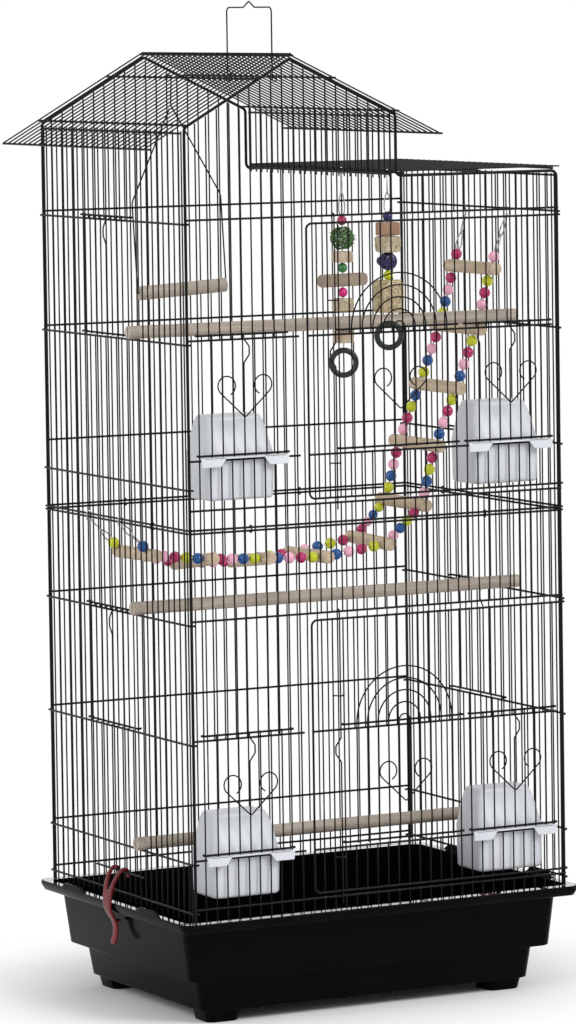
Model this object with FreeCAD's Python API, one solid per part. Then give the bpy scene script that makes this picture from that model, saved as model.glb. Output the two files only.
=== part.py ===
import FreeCAD, Part
import math
import os

V = FreeCAD.Vector

# Wire sizes and fits
WIRE = 1.5
RAIL = 2.2
POST = 3.0
THIN_WIRE = 1.4
WELD = 0.05
PLAY = 0.35
PITCH = 12.0
FRONT_GAPS = 35
SIDE_GAPS = 27

# Tray levels and sizes
FOOT_HEIGHT = 12.0
LOWER_TUB = 33.0
UPPER_TUB = 52.5
RIM_HEIGHT = 10.0
RIM_EDGE = 3.5
RIM_BEVEL = 4.0
RIM_OVERHANG_X = 15.5
RIM_OVERHANG_Y = 7.0
SHELF_X = 13.5
SHELF_Y = 24.0
TUB_TAPER_X = 7.5
TUB_TAPER_Y = 1.0
STEP_INSET_X = 13.0
STEP_INSET_Y = 12.0
BASE_TAPER_X = 6.0
BASE_TAPER_Y = 1.0
TRAY_WALL = 2.5
TRAY_CORNER = 12.0
LEDGE = 3.0
SEAT_GAP = 0.3
FOOT_LENGTH = 40.0
FOOT_WIDTH = 40.0
FOOT_SETBACK = 5.0
FOOT_CORNER = 8.0
TAB_LENGTH = 56.0
TAB_HEIGHT = 5.0
TAB_SPACING = 172.0

# Heights of the walls, each above the one before
BOTTOM_RAIL_RISE = 13.5
PLINTH = 48.5
BAY = 117.5
LOWER_HEAD = 86.0
SEAM_GAP = 3.2
SILL_RISE = 19.0
UPPER_HEAD = 37.0
SIDE_DROP = 4.0
LEFT_LOW_RAIL_RISE = 39.3
DOOR_TOP_INSET = 7.2
DOOR_SILL_GAP = 5.0
BAR_RISE = 4.7
SIDE_BAR_RISE = 3.5

# Roof
LOFT_WIDTH = 235.0
RIDGE_RISE = 121.0
LEFT_PITCH = 29.2
RIGHT_PITCH = 25.7
LEFT_OVERHANG = 42.0
RIGHT_OVERHANG = 51.0
ROOF_RAIL_END = 6.0
RIDGE_HOOK_TURN = 140.0
SWING_RAIL_RUN = 39.5
RIGHT_RAIL_RUN = 47.0
GABLE_BEND = 6.0
FLAT_RAIL_INSET = 6.0

# Carry handle
HANDLE_SPAN = 96.0
HANDLE_FRONT_Y = -129.0
HANDLE_SIDE = 2.3
HANDLE_DROP = 25.5
HANDLE_RISE = 47.5
HANDLE_PEAK = 6.0
HANDLE_PEAK_HALF = 12.0
HANDLE_TIP = 7.0
HANDLE_CORNER = 5.0
HANDLE_CROWN = 3.0

# Hooked doors, counted in mesh wires
FEEDER_GAPS = 8
LEFT_FEEDER = 1
POST_WIRE = 10
STILE_WIRE = 11
INNER_FIRST = 14
INNER_GAPS = 11
RIGHT_FEEDER = 26
SIDE_FIRST = 10
SIDE_DOOR_GAPS = 9
LEG_END = 1.5
KINK_DEPTH = 6.0
KINK_LENGTH = 16.0
HEART_LOBE_X = 20.0
HEART_LOBE_Z = 31.5
HEART_LOBE_R = 9.5
HEART_TIP_R = 2.0
HEART_CURL = 290.0
HEART_RISE = 41.0

# Door latch rods and tray latches
ROD_TAIL = 7.0
ROD_HOOK_LEG = 3.0
GUIDE_HALF = 3.4
GUIDE_RISE = 34.0
LATCH_BAR_RISE = 17.0
LATCH_FIRST = 9
LATCH_GAPS = 9
LATCH_KNUCKLE = 2.2
LATCH_PLATE = 3.0
LATCH_TAIL = 25.0
LATCH_FLARE = 1.0
PRONG = 8.0
LATCH_WAIST = 14.0

# Feeding cups
CUP_WIDTH = 75.0
CUP_DEPTH = 52.0
CUP_SETBACK = 3.0
CUP_BOWL = 43.5
CUP_HOOD = 39.0
CUP_TAPER = 0.7
CUP_HOOD_WIDTH = 60.0
CUP_HOOD_DEPTH = 34.0
CUP_HOOD_LEAN = 12.0
CUP_WALL = 2.0
CUP_CORNER = 6.0
CUP_MOUTH = 48.0
CUP_FLANGE = 1.8
CUP_FLANGE_HALF = 45.0
CUP_TAB_IN = 20.0
CUP_TAB_OUT = 48.5
CUP_TAB_DROP = 9.5
CUP_TAB_SLANT = 7.0
CUP_TAB_FLANK = 1.0

# Perches, swing, toys and bridge
PERCH = 13.0
PERCH_WIRE = 9
PERCH_END = 11.0
PERCH_SLOT_DEPTH = 3.0
SWING_Y = 24.0
SWING_DROP = 214.0
SWING_APEX = 28.0
SWING_SHOULDER = 122.0
SWING_SPAN = 100.0
SWING_DOWEL = 14.0
SWING_TILT = 3.0
RUNG = 13.0
RUNG_LENGTH = 100.0
BEAD = 11.6
BEAD_STEP = 12.0
BEAD_GAP = 0.2
STRAND = 1.6
STRAND_SPAN = 76.0
STRAND_FRONT_GAP = 8.5
STRAND_BACK_GAP = 15.5
LEFT_HOOK_FRONT_GAP = 12.5
LEFT_HOOK_BACK_GAP = 18.5
BRIDGE_HANGING = [(11.5, -7.0, 62.0), (23.0, 4.0, 124.0), (46.5, 6.0, 184.0), (72.0, 6.0, 242.0),
                  (89.0, 6.0, 302.0)]
BRIDGE_LEVEL = [(288.2, -0.5, 40.0, 4.0, 0.0), (218.0, 3.1, 50.7, 3.0, 2.0), (153.25, 6.45, 52.1, 3.0, 7.0),
                (90.8, 9.9, 50.0, 3.0, 8.0), (28.7, 13.9, 38.7, 3.0, 2.0)]
FRONT_BEADS = ["ycpb", "ycpb", "ycpb", "cybp", "cybp", "ycpb", "ycpb", "ybpc", "bycp"]
BACK_BEADS = ["cpby", "cpby", "bycp", "cpby", "ybpc", "cybp", "cybp", "cpby", "cpby"]
FRONT_END_BEADS = "pb"
BACK_END_BEADS = "cy"

# Hanging toys: each piece has its drop below the rail, then its size
CORD = 1.6
BORE_PLAY = 0.2
TOY_BEAD = 10.0
RING_TUBE = 5.0
BALL_TOY_GAP = 10.5
BALL_TOY_BEADS = (51.0, 99.0, 124.0)
BALL_TOY_COLLAR = (158.0, 9.0, 6.0)
BALL_TOY_BALL = (69.0, 25.0)
BALL_TOY_BLOCK = (88.0, 17.0, 17.0, 11.0)
BALL_TOY_STICK = (111.5, 62.0, 7.0, 13.0)
BALL_TOY_PUCK = (169.0, 22.0, 12.0)
BALL_TOY_LOOFAH = (137.0, 22.0, 13.0)
BALL_TOY_RING = (180.0, 31.0)
LOOFAH_TOY_GAP = 2.5
LOOFAH_TOY_BEADS = (44.0, 102.8)
LOOFAH_TOY_BLOCK = (56.5, 21.0, 14.0, 13.0)
LOOFAH_TOY_PALE_BLOCK = (72.0, 26.0, 22.0, 16.0)
LOOFAH_TOY_BALL = (89.0, 17.0)
LOOFAH_TOY_ROLL = (124.2, 30.0, 32.0)
LOOFAH_TOY_RING = (148.0, 30.0)

# Worked-out places
HALF_WIDTH = PITCH * FRONT_GAPS / 2
HALF_DEPTH = PITCH * SIDE_GAPS / 2
POST_INSET = (POST - WIRE) / 2
POST_X = HALF_WIDTH - POST_INSET
POST_Y = HALF_DEPTH - POST_INSET
RAIL_OUT = (WIRE + RAIL) / 2 + WELD
LOOP = POST_INSET + RAIL_OUT
HOOK = WIRE / 2 + PLAY + RAIL / 2
LEG_OUT = HOOK + (RAIL + WIRE) / 2 + WELD
HEART_OUT = LEG_OUT + (WIRE + THIN_WIRE) / 2 + WELD

STEP_Z = FOOT_HEIGHT + LOWER_TUB
RIM_Z = STEP_Z + UPPER_TUB
RIM_TOP = RIM_Z + RIM_HEIGHT
WALL_FOOT = RIM_TOP + SEAT_GAP
BOTTOM_RAIL = RIM_TOP + BOTTOM_RAIL_RISE
LOWER_RAILS = [BOTTOM_RAIL + PLINTH + BAY * i for i in range(3)]
SEAM_LOW = LOWER_RAILS[2] + LOWER_HEAD
SEAM_HIGH = SEAM_LOW + SEAM_GAP
SEAM = (SEAM_LOW + SEAM_HIGH) / 2
SILL = SEAM_HIGH + SILL_RISE
UPPER_RAILS = [SILL + PLINTH + BAY * i for i in range(3)]
FLAT_TOP = UPPER_RAILS[2] + UPPER_HEAD

LOFT_X = LOFT_WIDTH - HALF_WIDTH
RIDGE_X = LOFT_WIDTH / 2 - HALF_WIDTH
RIDGE_Z = FLAT_TOP + RIDGE_RISE
ROOF_STACK = (RAIL + WIRE) / 2 + WELD
GABLE_STACK = (RAIL + POST) / 2 + WELD
FLAT_RAIL_Z = FLAT_TOP + GABLE_STACK
FLAT_WIRE_Z = FLAT_RAIL_Z + ROOF_STACK
TOY_X = LOFT_X + FLAT_RAIL_INSET

parts = {}


# Round bars and bent wires
def rod(start, end, diameter):
    run = end - start
    return Part.makeCylinder(diameter / 2, run.Length, start, run)


def pipe(edges, diameter):
    first = edges[0]
    begin = first.valueAt(first.FirstParameter)
    along = first.tangentAt(first.FirstParameter)
    ring = Part.Circle(begin, along, diameter / 2).toShape()
    return Part.Wire(edges).makePipe(Part.Face(Part.Wire(ring)))


def bent(points, diameter, radii):
    """One wire along straight runs with a tangent arc at each inner point."""
    if not isinstance(radii, (list, tuple)):
        radii = [radii] * (len(points) - 2)
    edges = []
    here = points[0]
    for i in range(1, len(points) - 1):
        corner = points[i]
        behind = (points[i - 1] - corner).normalize()
        ahead = (points[i + 1] - corner).normalize()
        half = behind.getAngle(ahead) / 2
        reach = radii[i - 1] / math.tan(half)
        middle = (behind + ahead).normalize()
        mid = corner + middle * (radii[i - 1] / math.sin(half) - radii[i - 1])
        enter = corner + behind * reach
        leave = corner + ahead * reach
        if (enter - here).Length > 1e-6:
            edges.append(Part.makeLine(here, enter))
        edges.append(Part.Arc(enter, mid, leave).toShape())
        here = leave
    if (points[-1] - here).Length > 1e-6:
        edges.append(Part.makeLine(here, points[-1]))
    return pipe(edges, diameter)


# Places on the four walls: along the wall, outward from its mesh, height
def front(u, out, z):
    return V(u, -HALF_DEPTH - out, z)


def back(u, out, z):
    return V(u, HALF_DEPTH + out, z)


def left(u, out, z):
    return V(-HALF_WIDTH - out, u, z)


def right(u, out, z):
    return V(HALF_WIDTH + out, u, z)


def front_u(index):
    return -HALF_WIDTH + PITCH * index


def side_u(index):
    return -HALF_DEPTH + PITCH * index


def opening(u_of, first, last, low, high):
    return (u_of(first) - PITCH / 2, u_of(last) + PITCH / 2, low, high)


def mesh_wires(wall, positions, low, top_of, openings):
    """Upright wires, each stopped at the rails of any opening it meets."""
    wires = []
    for u in positions:
        runs = [(low, top_of(u))]
        for u0, u1, z0, z1 in openings:
            if u0 < u < u1:
                runs = [(a, min(b, z0 + RAIL / 2)) for a, b in runs if a < z0] + \
                       [(max(a, z1 - RAIL / 2), b) for a, b in runs if b > z1]
        wires += [rod(wall(u, 0, a), wall(u, 0, b), WIRE) for a, b in runs]
    return wires


def straight_rail(wall, u0, u1, z):
    return rod(wall(u0, RAIL_OUT, z), wall(u1, RAIL_OUT, z), RAIL)


def hooked_rail(wall, z):
    """Side rail whose two ends are bent round the corner posts."""
    end = POST_Y + LOOP
    stub = -POST_INSET - RAIL - WIRE / 2
    points = [wall(-end, stub, z), wall(-end, RAIL_OUT, z), wall(end, RAIL_OUT, z), wall(end, stub, z)]
    return bent(points, RAIL, LOOP)


# Roof slopes seen from the front: from the ridge wire outward
def slope(side):
    pitch = math.radians(LEFT_PITCH if side < 0 else RIGHT_PITCH)
    along = V(side * math.cos(pitch), 0, -math.sin(pitch))
    normal = V(side * math.sin(pitch), 0, math.cos(pitch))
    return along, normal


def gable_z(x):
    side = -1 if x < RIDGE_X else 1
    along, normal = slope(side)
    foot = V(RIDGE_X, 0, RIDGE_Z) - normal * GABLE_STACK
    return foot.z + (x - foot.x) * along.z / along.x


def gable_apex():
    left_along, left_normal = slope(-1)
    right_along, right_normal = slope(1)
    a = V(RIDGE_X, 0, RIDGE_Z) - left_normal * GABLE_STACK
    b = V(RIDGE_X, 0, RIDGE_Z) - right_normal * GABLE_STACK
    left_rise = left_along.z / left_along.x
    right_rise = right_along.z / right_along.x
    x = (b.z - a.z + left_rise * a.x - right_rise * b.x) / (left_rise - right_rise)
    return x, a.z + left_rise * (x - a.x)


def wall_top(u):
    if u > LOFT_X - WIRE:
        return FLAT_TOP - POST / 2 - WELD
    return gable_z(u) - POST / 2 / math.cos(math.radians(LEFT_PITCH)) - PLAY


def gable_frame(wall):
    """Frame wire of a gable wall: eaves, apex, step and flat part."""
    inset = -POST_INSET
    eave = gable_z(-POST_X)
    step = gable_z(LOFT_X)
    apex_x, apex_z = gable_apex()
    shoulder = eave - 2 * GABLE_BEND
    landing = FLAT_TOP + 2 * GABLE_BEND
    gable = [(-POST_X, shoulder), (-POST_X, eave), (apex_x, apex_z), (LOFT_X, step), (LOFT_X, landing)]
    flat = [(LOFT_X, landing), (LOFT_X, FLAT_TOP), (POST_X, FLAT_TOP), (POST_X, FLAT_TOP - 2 * GABLE_BEND)]
    frame = [bent([wall(u, inset, z) for u, z in line], POST, GABLE_BEND) for line in (gable, flat)]
    for u, top in ((-POST_X, shoulder), (POST_X, FLAT_TOP - 2 * GABLE_BEND)):
        frame.append(rod(wall(u, inset, SEAM + WELD), wall(u, inset, top), POST))
    return frame


def lower_posts(wall):
    return [rod(wall(u, -POST_INSET, WALL_FOOT), wall(u, -POST_INSET, SEAM - WELD), POST)
            for u in (-POST_X, POST_X)]


def end_to_end(first, last):
    return [front_u(i) for i in range(first, last + 1)]


# Front and back walls, lower and upper halves
def front_walls():
    all_wires = end_to_end(1, FRONT_GAPS - 1)
    bay_end = front_u(POST_WIRE) + RAIL
    last_leg = LEFT_FEEDER + FEEDER_GAPS - 1
    halves = (("lower", BOTTOM_RAIL, LOWER_RAILS), ("upper", SILL, UPPER_RAILS))
    for half, sill, rails in halves:
        gaps = [opening(front_u, LEFT_FEEDER + 1, last_leg, rails[0], rails[1]),
                opening(front_u, STILE_WIRE, FRONT_GAPS - 1, sill, rails[2])]
        seam = SEAM_LOW if half == "lower" else SEAM_HIGH
        wide = [straight_rail(front, -POST_X, POST_X, z) for z in (sill, rails[2], seam)]
        bay = [straight_rail(front, -POST_X, bay_end, z) for z in rails[:2]]
        if half == "lower":
            wires = mesh_wires(front, all_wires, WALL_FOOT, lambda u: SEAM - WELD, gaps)
            frame = lower_posts(front)
        else:
            wires = mesh_wires(front, all_wires, SEAM + WELD, wall_top, gaps)
            frame = gable_frame(front)
        parts[half + "_front_panel"] = wires + wide + bay + frame


def back_walls():
    all_wires = end_to_end(1, FRONT_GAPS - 1)
    lower = mesh_wires(back, all_wires, WALL_FOOT, lambda u: SEAM - WELD, [])
    upper = mesh_wires(back, all_wires, SEAM + WELD, wall_top, [])
    low_rails = [straight_rail(back, -POST_X, POST_X, z) for z in [BOTTOM_RAIL] + LOWER_RAILS + [SEAM_LOW]]
    high_rails = [straight_rail(back, -POST_X, POST_X, z) for z in UPPER_RAILS + [SEAM_HIGH]]
    parts["lower_back_panel"] = lower + low_rails + lower_posts(back)
    parts["upper_back_panel"] = upper + high_rails + gable_frame(back)


# Side walls; their rails hang a little below the front rails and hook round the posts
LEFT_TOP = gable_z(-HALF_WIDTH) - GABLE_STACK
RIGHT_TOP = FLAT_TOP - GABLE_STACK
LATCH_BAR = BOTTOM_RAIL + LATCH_BAR_RISE
SIDE_LOWER = [z - SIDE_DROP for z in [BOTTOM_RAIL] + LOWER_RAILS]
SIDE_UPPER = [z - SIDE_DROP for z in UPPER_RAILS]
LEFT_LOW_RAIL = SEAM_HIGH + LEFT_LOW_RAIL_RISE


def side_walls():
    grid = [side_u(j) for j in range(1, SIDE_GAPS)]
    edge = HALF_DEPTH - PITCH / 2
    wires = [-edge] + grid + [edge]
    last_leg = SIDE_FIRST + SIDE_DOOR_GAPS - 1
    seam_end = POST_Y
    sides = (("left", left, LEFT_TOP, [LEFT_LOW_RAIL, SIDE_UPPER[1], SIDE_UPPER[2]], SIDE_UPPER[1]),
             ("right", right, RIGHT_TOP, SIDE_UPPER, SIDE_UPPER[0]))
    for name, wall, top, upper_rails, door_rail in sides:
        lower_gap = opening(side_u, SIDE_FIRST + 1, last_leg, SIDE_LOWER[2], SIDE_LOWER[3])
        upper_gap = opening(side_u, SIDE_FIRST + 1, last_leg, door_rail, door_rail + BAY)
        lower = mesh_wires(wall, wires, WALL_FOOT, lambda u: SEAM - WELD, [lower_gap])
        upper = mesh_wires(wall, wires, SEAM + WELD, lambda u: top, [upper_gap])
        lower += [hooked_rail(wall, z) for z in SIDE_LOWER]
        lower += [straight_rail(wall, -seam_end, seam_end, SEAM_LOW),
                  straight_rail(wall, side_u(LATCH_FIRST), side_u(LATCH_FIRST + LATCH_GAPS), LATCH_BAR)]
        upper += [hooked_rail(wall, z) for z in upper_rails]
        upper += [straight_rail(wall, -edge, edge, top - RAIL),
                  straight_rail(wall, -seam_end, seam_end, SEAM_HIGH)]
        parts["lower_%s_panel" % name] = lower
        parts["upper_%s_panel" % name] = upper


# Roof: two pitched panels hooked over one ridge wire, a flat top and the loft's short side
def roof_wire(side, y, run):
    """Sloping wire whose top end curls over the ridge wire."""
    along, normal = slope(side)
    ridge = V(RIDGE_X, y, RIDGE_Z)
    top = ridge + normal * ROOF_STACK
    turns = [math.radians(RIDGE_HOOK_TURN) * share for share in (0.5, 1.0)]
    curl = [ridge + (normal * math.cos(t) - along * math.sin(t)) * ROOF_STACK for t in turns]
    line = Part.makeLine(top + along * run, top)
    return pipe([line, Part.Arc(top, curl[0], curl[1]).toShape()], WIRE)


def roof_rail(side, run):
    along, normal = slope(side)
    centre = V(RIDGE_X, 0, RIDGE_Z) + along * run
    reach = V(0, HALF_DEPTH + ROOF_RAIL_END, 0)
    return rod(centre - reach, centre + reach, RAIL)


def roof_run(side, x):
    return abs(x - RIDGE_X) / abs(slope(side)[0].x)


def roof_panels():
    left_run = roof_run(-1, -HALF_WIDTH - LEFT_OVERHANG)
    right_run = roof_run(1, LOFT_X + RIGHT_OVERHANG)
    left_rails = [0, roof_run(-1, RIDGE_X - SWING_RAIL_RUN), roof_run(-1, -HALF_WIDTH), left_run - RAIL]
    right_rails = [roof_run(1, RIDGE_X + RIGHT_RAIL_RUN), roof_run(1, LOFT_X), right_run - RAIL]
    parts["roof_left_panel"] = [roof_wire(-1, side_u(j), left_run) for j in range(SIDE_GAPS + 1)] + \
                               [roof_rail(-1, run) for run in left_rails]
    parts["roof_right_panel"] = [roof_wire(1, side_u(j + 0.5), right_run) for j in range(SIDE_GAPS)] + \
                                [roof_rail(1, run) for run in right_rails]


def flat_top():
    end = HALF_WIDTH + RAIL
    wires = []
    for j in range(SIDE_GAPS + 1):
        over_frame = j in (0, SIDE_GAPS)
        start = TOY_X - RAIL / 2 if over_frame else LOFT_X + WIRE / 2 + WELD
        wires.append(rod(V(start, side_u(j), FLAT_WIRE_Z), V(end, side_u(j), FLAT_WIRE_Z), WIRE))
    outer = POST_X - FLAT_RAIL_INSET
    reach = V(0, POST_Y + POST, 0)
    rails = [rod(V(x, 0, FLAT_RAIL_Z) - reach, V(x, 0, FLAT_RAIL_Z) + reach, RAIL)
             for x in (TOY_X, (TOY_X + outer) / 2, outer)]
    parts["flat_top_panel"] = wires + rails


def loft_side():
    along, normal = slope(1)
    rail_under = V(RIDGE_X, 0, RIDGE_Z) + along * roof_run(1, LOFT_X)
    top = rail_under.z - RAIL / 2 - SEAT_GAP
    bottom = FLAT_TOP - POST
    inner = LOFT_X - RAIL_OUT
    edge = side_u(1)
    wires = [rod(V(LOFT_X, side_u(j), bottom), V(LOFT_X, side_u(j), top), WIRE)
             for j in range(1, SIDE_GAPS)]
    rails = [rod(V(inner, edge, z), V(inner, -edge, z), RAIL) for z in (bottom + RAIL * 2, top - RAIL * 2)]
    parts["loft_side_panel"] = wires + rails


def carry_handle():
    x = RIDGE_X - HANDLE_SIDE
    tip_x = RIDGE_X + HANDLE_SIDE
    foot = RIDGE_Z - HANDLE_DROP
    top = RIDGE_Z + HANDLE_RISE
    rear = HANDLE_FRONT_Y + HANDLE_SPAN
    middle = HANDLE_FRONT_Y + HANDLE_SPAN / 2
    points = [V(tip_x, rear, foot + HANDLE_TIP), V(tip_x, rear, foot), V(x, rear, foot), V(x, rear, top),
              V(x, middle + HANDLE_PEAK_HALF, top), V(x, middle, top + HANDLE_PEAK),
              V(x, middle - HANDLE_PEAK_HALF, top), V(x, HANDLE_FRONT_Y, top), V(x, HANDLE_FRONT_Y, foot),
              V(tip_x, HANDLE_FRONT_Y, foot), V(tip_x, HANDLE_FRONT_Y, foot + HANDLE_TIP)]
    turn = HANDLE_SIDE * 0.97
    turns = [turn, turn, HANDLE_CORNER] + [HANDLE_CROWN] * 3 + [HANDLE_CORNER, turn, turn]
    parts["carry_handle"] = [bent(points, WIRE, turns)]


def seam_clips():
    """Small open rings that hold the lower and upper halves together."""
    reach = RAIL / 2 + WELD + THIN_WIRE / 2
    half_height = SEAM_GAP / 2 + reach
    mouth = THIN_WIRE
    near = RAIL_OUT - reach
    far = RAIL_OUT + reach
    places = [(front, front_u(5.5)), (front, front_u(27.5)), (left, side_u(6.5)), (right, side_u(20.5)),
              (back, front_u(7.5)), (back, front_u(24.5))]
    shape = [(near, mouth), (near, half_height), (far, half_height), (far, -half_height),
             (near, -half_height), (near, -mouth)]
    parts["seam_clips"] = [bent([wall(u, out, SEAM + z) for out, z in shape], THIN_WIRE, THIN_WIRE)
                           for wall, u in places]


# Large hinged doors of the front wall
def hinge_rail(z):
    """Door rail that ends in a loop round the right front post."""
    start = front_u(STILE_WIRE) + GABLE_BEND
    centre = V(POST_X, -POST_Y, z)
    points = [front(start, RAIL_OUT, z), centre + V(LOOP, -LOOP, 0), centre + V(LOOP, LOOP, 0),
              centre + V(-LOOP, LOOP, 0), centre + V(-LOOP, 0, 0)]
    return bent(points, RAIL, LOOP)


def rod_guide(x, z):
    """Staple on the door that keeps the latch rod upright."""
    seat = (WIRE + THIN_WIRE) / 2 + WELD
    over = LEG_OUT + WIRE / 2 + PLAY + THIN_WIRE / 2
    line = [(x - PITCH / 2, seat), (x - GUIDE_HALF, seat), (x - GUIDE_HALF, over),
            (x + GUIDE_HALF, over), (x + GUIDE_HALF, seat), (x + PITCH / 2, seat)]
    return bent([front(u, out, z) for u, out in line], THIN_WIRE, THIN_WIRE)


ROD_X = front_u(INNER_FIRST - 0.5)


def main_door(half, sill, rails):
    low = sill + DOOR_SILL_GAP
    high = rails[2] - DOOR_TOP_INSET
    stile = front_u(STILE_WIRE)
    inner = opening(front_u, INNER_FIRST + 1, INNER_FIRST + INNER_GAPS - 1, rails[0], rails[1])
    feeder = opening(front_u, RIGHT_FEEDER + 1, RIGHT_FEEDER + FEEDER_GAPS - 1, rails[0], rails[1])
    edge = [front(stile + GABLE_BEND, RAIL_OUT, low), front(stile, RAIL_OUT, low),
            front(stile, RAIL_OUT, high), front(stile + GABLE_BEND, RAIL_OUT, high)]
    wires = mesh_wires(front, end_to_end(STILE_WIRE + 1, FRONT_GAPS - 1), low - RAIL / 2,
                       lambda u: high + RAIL / 2, [inner, feeder])
    cross_start = stile + RAIL / 2 + WELD
    cross = [straight_rail(front, cross_start, front_u(FRONT_GAPS - 1) + RAIL, z) for z in rails[:2]]
    guides = [rod_guide(ROD_X, z) for z in (low + GUIDE_RISE, rails[1] + GUIDE_RISE)]
    frame = [bent(edge, RAIL, GABLE_BEND - WELD), hinge_rail(low), hinge_rail(high)]
    parts[half + "_main_door"] = wires + cross + guides + frame


def latch_rod(half, sill, rails):
    """Upright rod that hooks over the fixed rail above the door."""
    reach = RAIL / 2 + PLAY + WIRE / 2
    out = RAIL_OUT + reach
    behind = RAIL_OUT - reach
    top = rails[2] + reach
    kink = rails[1] - KINK_LENGTH
    line = [(0, out, sill - ROD_TAIL), (0, out, kink - KINK_LENGTH),
            (-KINK_DEPTH, out, kink - KINK_LENGTH / 2), (-KINK_DEPTH, out, kink),
            (0, out, kink + KINK_LENGTH / 2), (0, out, top), (0, behind, top),
            (0, behind, rails[2] - ROD_HOOK_LEG)]
    turns = [KINK_DEPTH / 2] * 4 + [reach, reach]
    points = [front(ROD_X + u, n, z) for u, n, z in line]
    parts[half + "_door_latch"] = [bent(points, WIRE, turns)]


# Small doors that slide up on two mesh wires
def hooked_bar(wall, u0, u1, z):
    points = [wall(u0, -HOOK, z), wall(u0 - HOOK, -HOOK, z), wall(u0 - HOOK, HOOK, z),
              wall(u1 + HOOK, HOOK, z), wall(u1 + HOOK, -HOOK, z), wall(u1, -HOOK, z)]
    return bent(points, RAIL, HOOK)


def finger_leg(wall, u, low, high):
    """Middle leg with a sideways kink to lift the door by."""
    top = high - KINK_LENGTH / 4
    line = [(0, low - LEG_END), (0, top - KINK_LENGTH * 1.5), (KINK_DEPTH, top - KINK_LENGTH),
            (KINK_DEPTH, top - KINK_LENGTH / 2), (0, top), (0, high + LEG_END)]
    return bent([wall(u + aside, LEG_OUT, z) for aside, z in line], WIRE, KINK_DEPTH / 3)


def heart(u0, z0):
    """Heart of thin wire with curled lobes, welded on the door legs."""
    centre = math.hypot(HEART_LOBE_X, HEART_LOBE_Z)
    rise = math.atan2(HEART_LOBE_Z, HEART_LOBE_X) - math.asin(HEART_LOBE_R / centre)
    run = math.sqrt(centre ** 2 - HEART_LOBE_R ** 2)
    tip = HEART_TIP_R * math.tan(rise)
    curl = [rise - math.pi / 2 + math.radians(HEART_CURL) * share for share in (0, 0.5, 1)]
    lobe = [(HEART_LOBE_X + HEART_LOBE_R * math.cos(a), HEART_LOBE_Z + HEART_LOBE_R * math.sin(a))
            for a in curl]

    def at(side, point):
        return front(u0 + side * point[0], HEART_OUT, z0 + point[1])

    near = (tip * math.cos(rise), tip * math.sin(rise))
    low = (0, HEART_TIP_R / math.cos(rise) - HEART_TIP_R)
    edges = [Part.Arc(at(-1, lobe[2]), at(-1, lobe[1]), at(-1, lobe[0])).toShape(),
             Part.makeLine(at(-1, lobe[0]), at(-1, near)),
             Part.Arc(at(-1, near), at(1, low), at(1, near)).toShape(),
             Part.makeLine(at(1, near), at(1, lobe[0])),
             Part.Arc(at(1, lobe[0]), at(1, lobe[1]), at(1, lobe[2])).toShape()]
    return pipe(edges, THIN_WIRE)


def sliding_door(wall, u_of, first, gaps, low):
    """Two hooked bars, straight legs between them and one finger leg."""
    high = low + BAY
    bars = [hooked_bar(wall, u_of(first), u_of(first + gaps), z) for z in (low, high)]
    middle = first + gaps // 2
    legs = [rod(wall(u_of(i), LEG_OUT, low - LEG_END), wall(u_of(i), LEG_OUT, high + LEG_END), WIRE)
            for i in range(first + 1, first + gaps) if i != middle]
    return bars + legs + [finger_leg(wall, u_of(middle), low, high)]


def feeder_door(name, first, rail):
    door = sliding_door(front, front_u, first, FEEDER_GAPS, rail + BAR_RISE)
    parts[name] = door + [heart(front_u(first + FEEDER_GAPS / 2), rail + HEART_RISE)]


def inner_door(name, rail):
    """Sliding door of the large door, with nested arches as its legs."""
    low = rail + BAR_RISE
    high = low + BAY
    last = INNER_FIRST + INNER_GAPS
    door = [hooked_bar(front, front_u(INNER_FIRST), front_u(last), z) for z in (low, high)]
    middle = front_u(INNER_FIRST + INNER_GAPS / 2)
    for i in range(INNER_FIRST + 1, INNER_FIRST + 1 + INNER_GAPS // 2):
        u = front_u(i)
        radius = middle - u
        spring = [front(u, LEG_OUT, high), front(2 * middle - u, LEG_OUT, high)]
        crown = front(middle, LEG_OUT, high + radius)
        foot = [front(u, LEG_OUT, low - LEG_END), front(2 * middle - u, LEG_OUT, low - LEG_END)]
        edges = [Part.makeLine(foot[0], spring[0]), Part.Arc(spring[0], crown, spring[1]).toShape(),
                 Part.makeLine(spring[1], foot[1])]
        door.append(pipe(edges, WIRE))
    parts[name] = door + [heart(middle, rail + HEART_RISE)]


# Hooded feeding cup that hangs by a flange over the rail of its opening
def rounded(half_x, half_y, centre, corner):
    x0, x1 = centre.x - half_x, centre.x + half_x
    y0, y1 = centre.y - half_y, centre.y + half_y
    slant = corner * (1 - math.sqrt(0.5))
    z = centre.z
    sides = [((x0 + corner, y0), (x1 - corner, y0)), ((x1, y0 + corner), (x1, y1 - corner)),
             ((x1 - corner, y1), (x0 + corner, y1)), ((x0, y1 - corner), (x0, y0 + corner))]
    bends = [(x1 - slant, y0 + slant), (x1 - slant, y1 - slant),
             (x0 + slant, y1 - slant), (x0 + slant, y0 + slant)]
    edges = []
    for i in range(4):
        start, end = (V(x, y, z) for x, y in sides[i])
        turn = V(bends[i][0], bends[i][1], z)
        following = sides[(i + 1) % 4][0]
        edges.append(Part.makeLine(start, end))
        edges.append(Part.Arc(end, turn, V(following[0], following[1], z)).toShape())
    return Part.Wire(edges)


def frustum(low, high):
    return Part.makeLoft([low, high], True, True)


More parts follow.
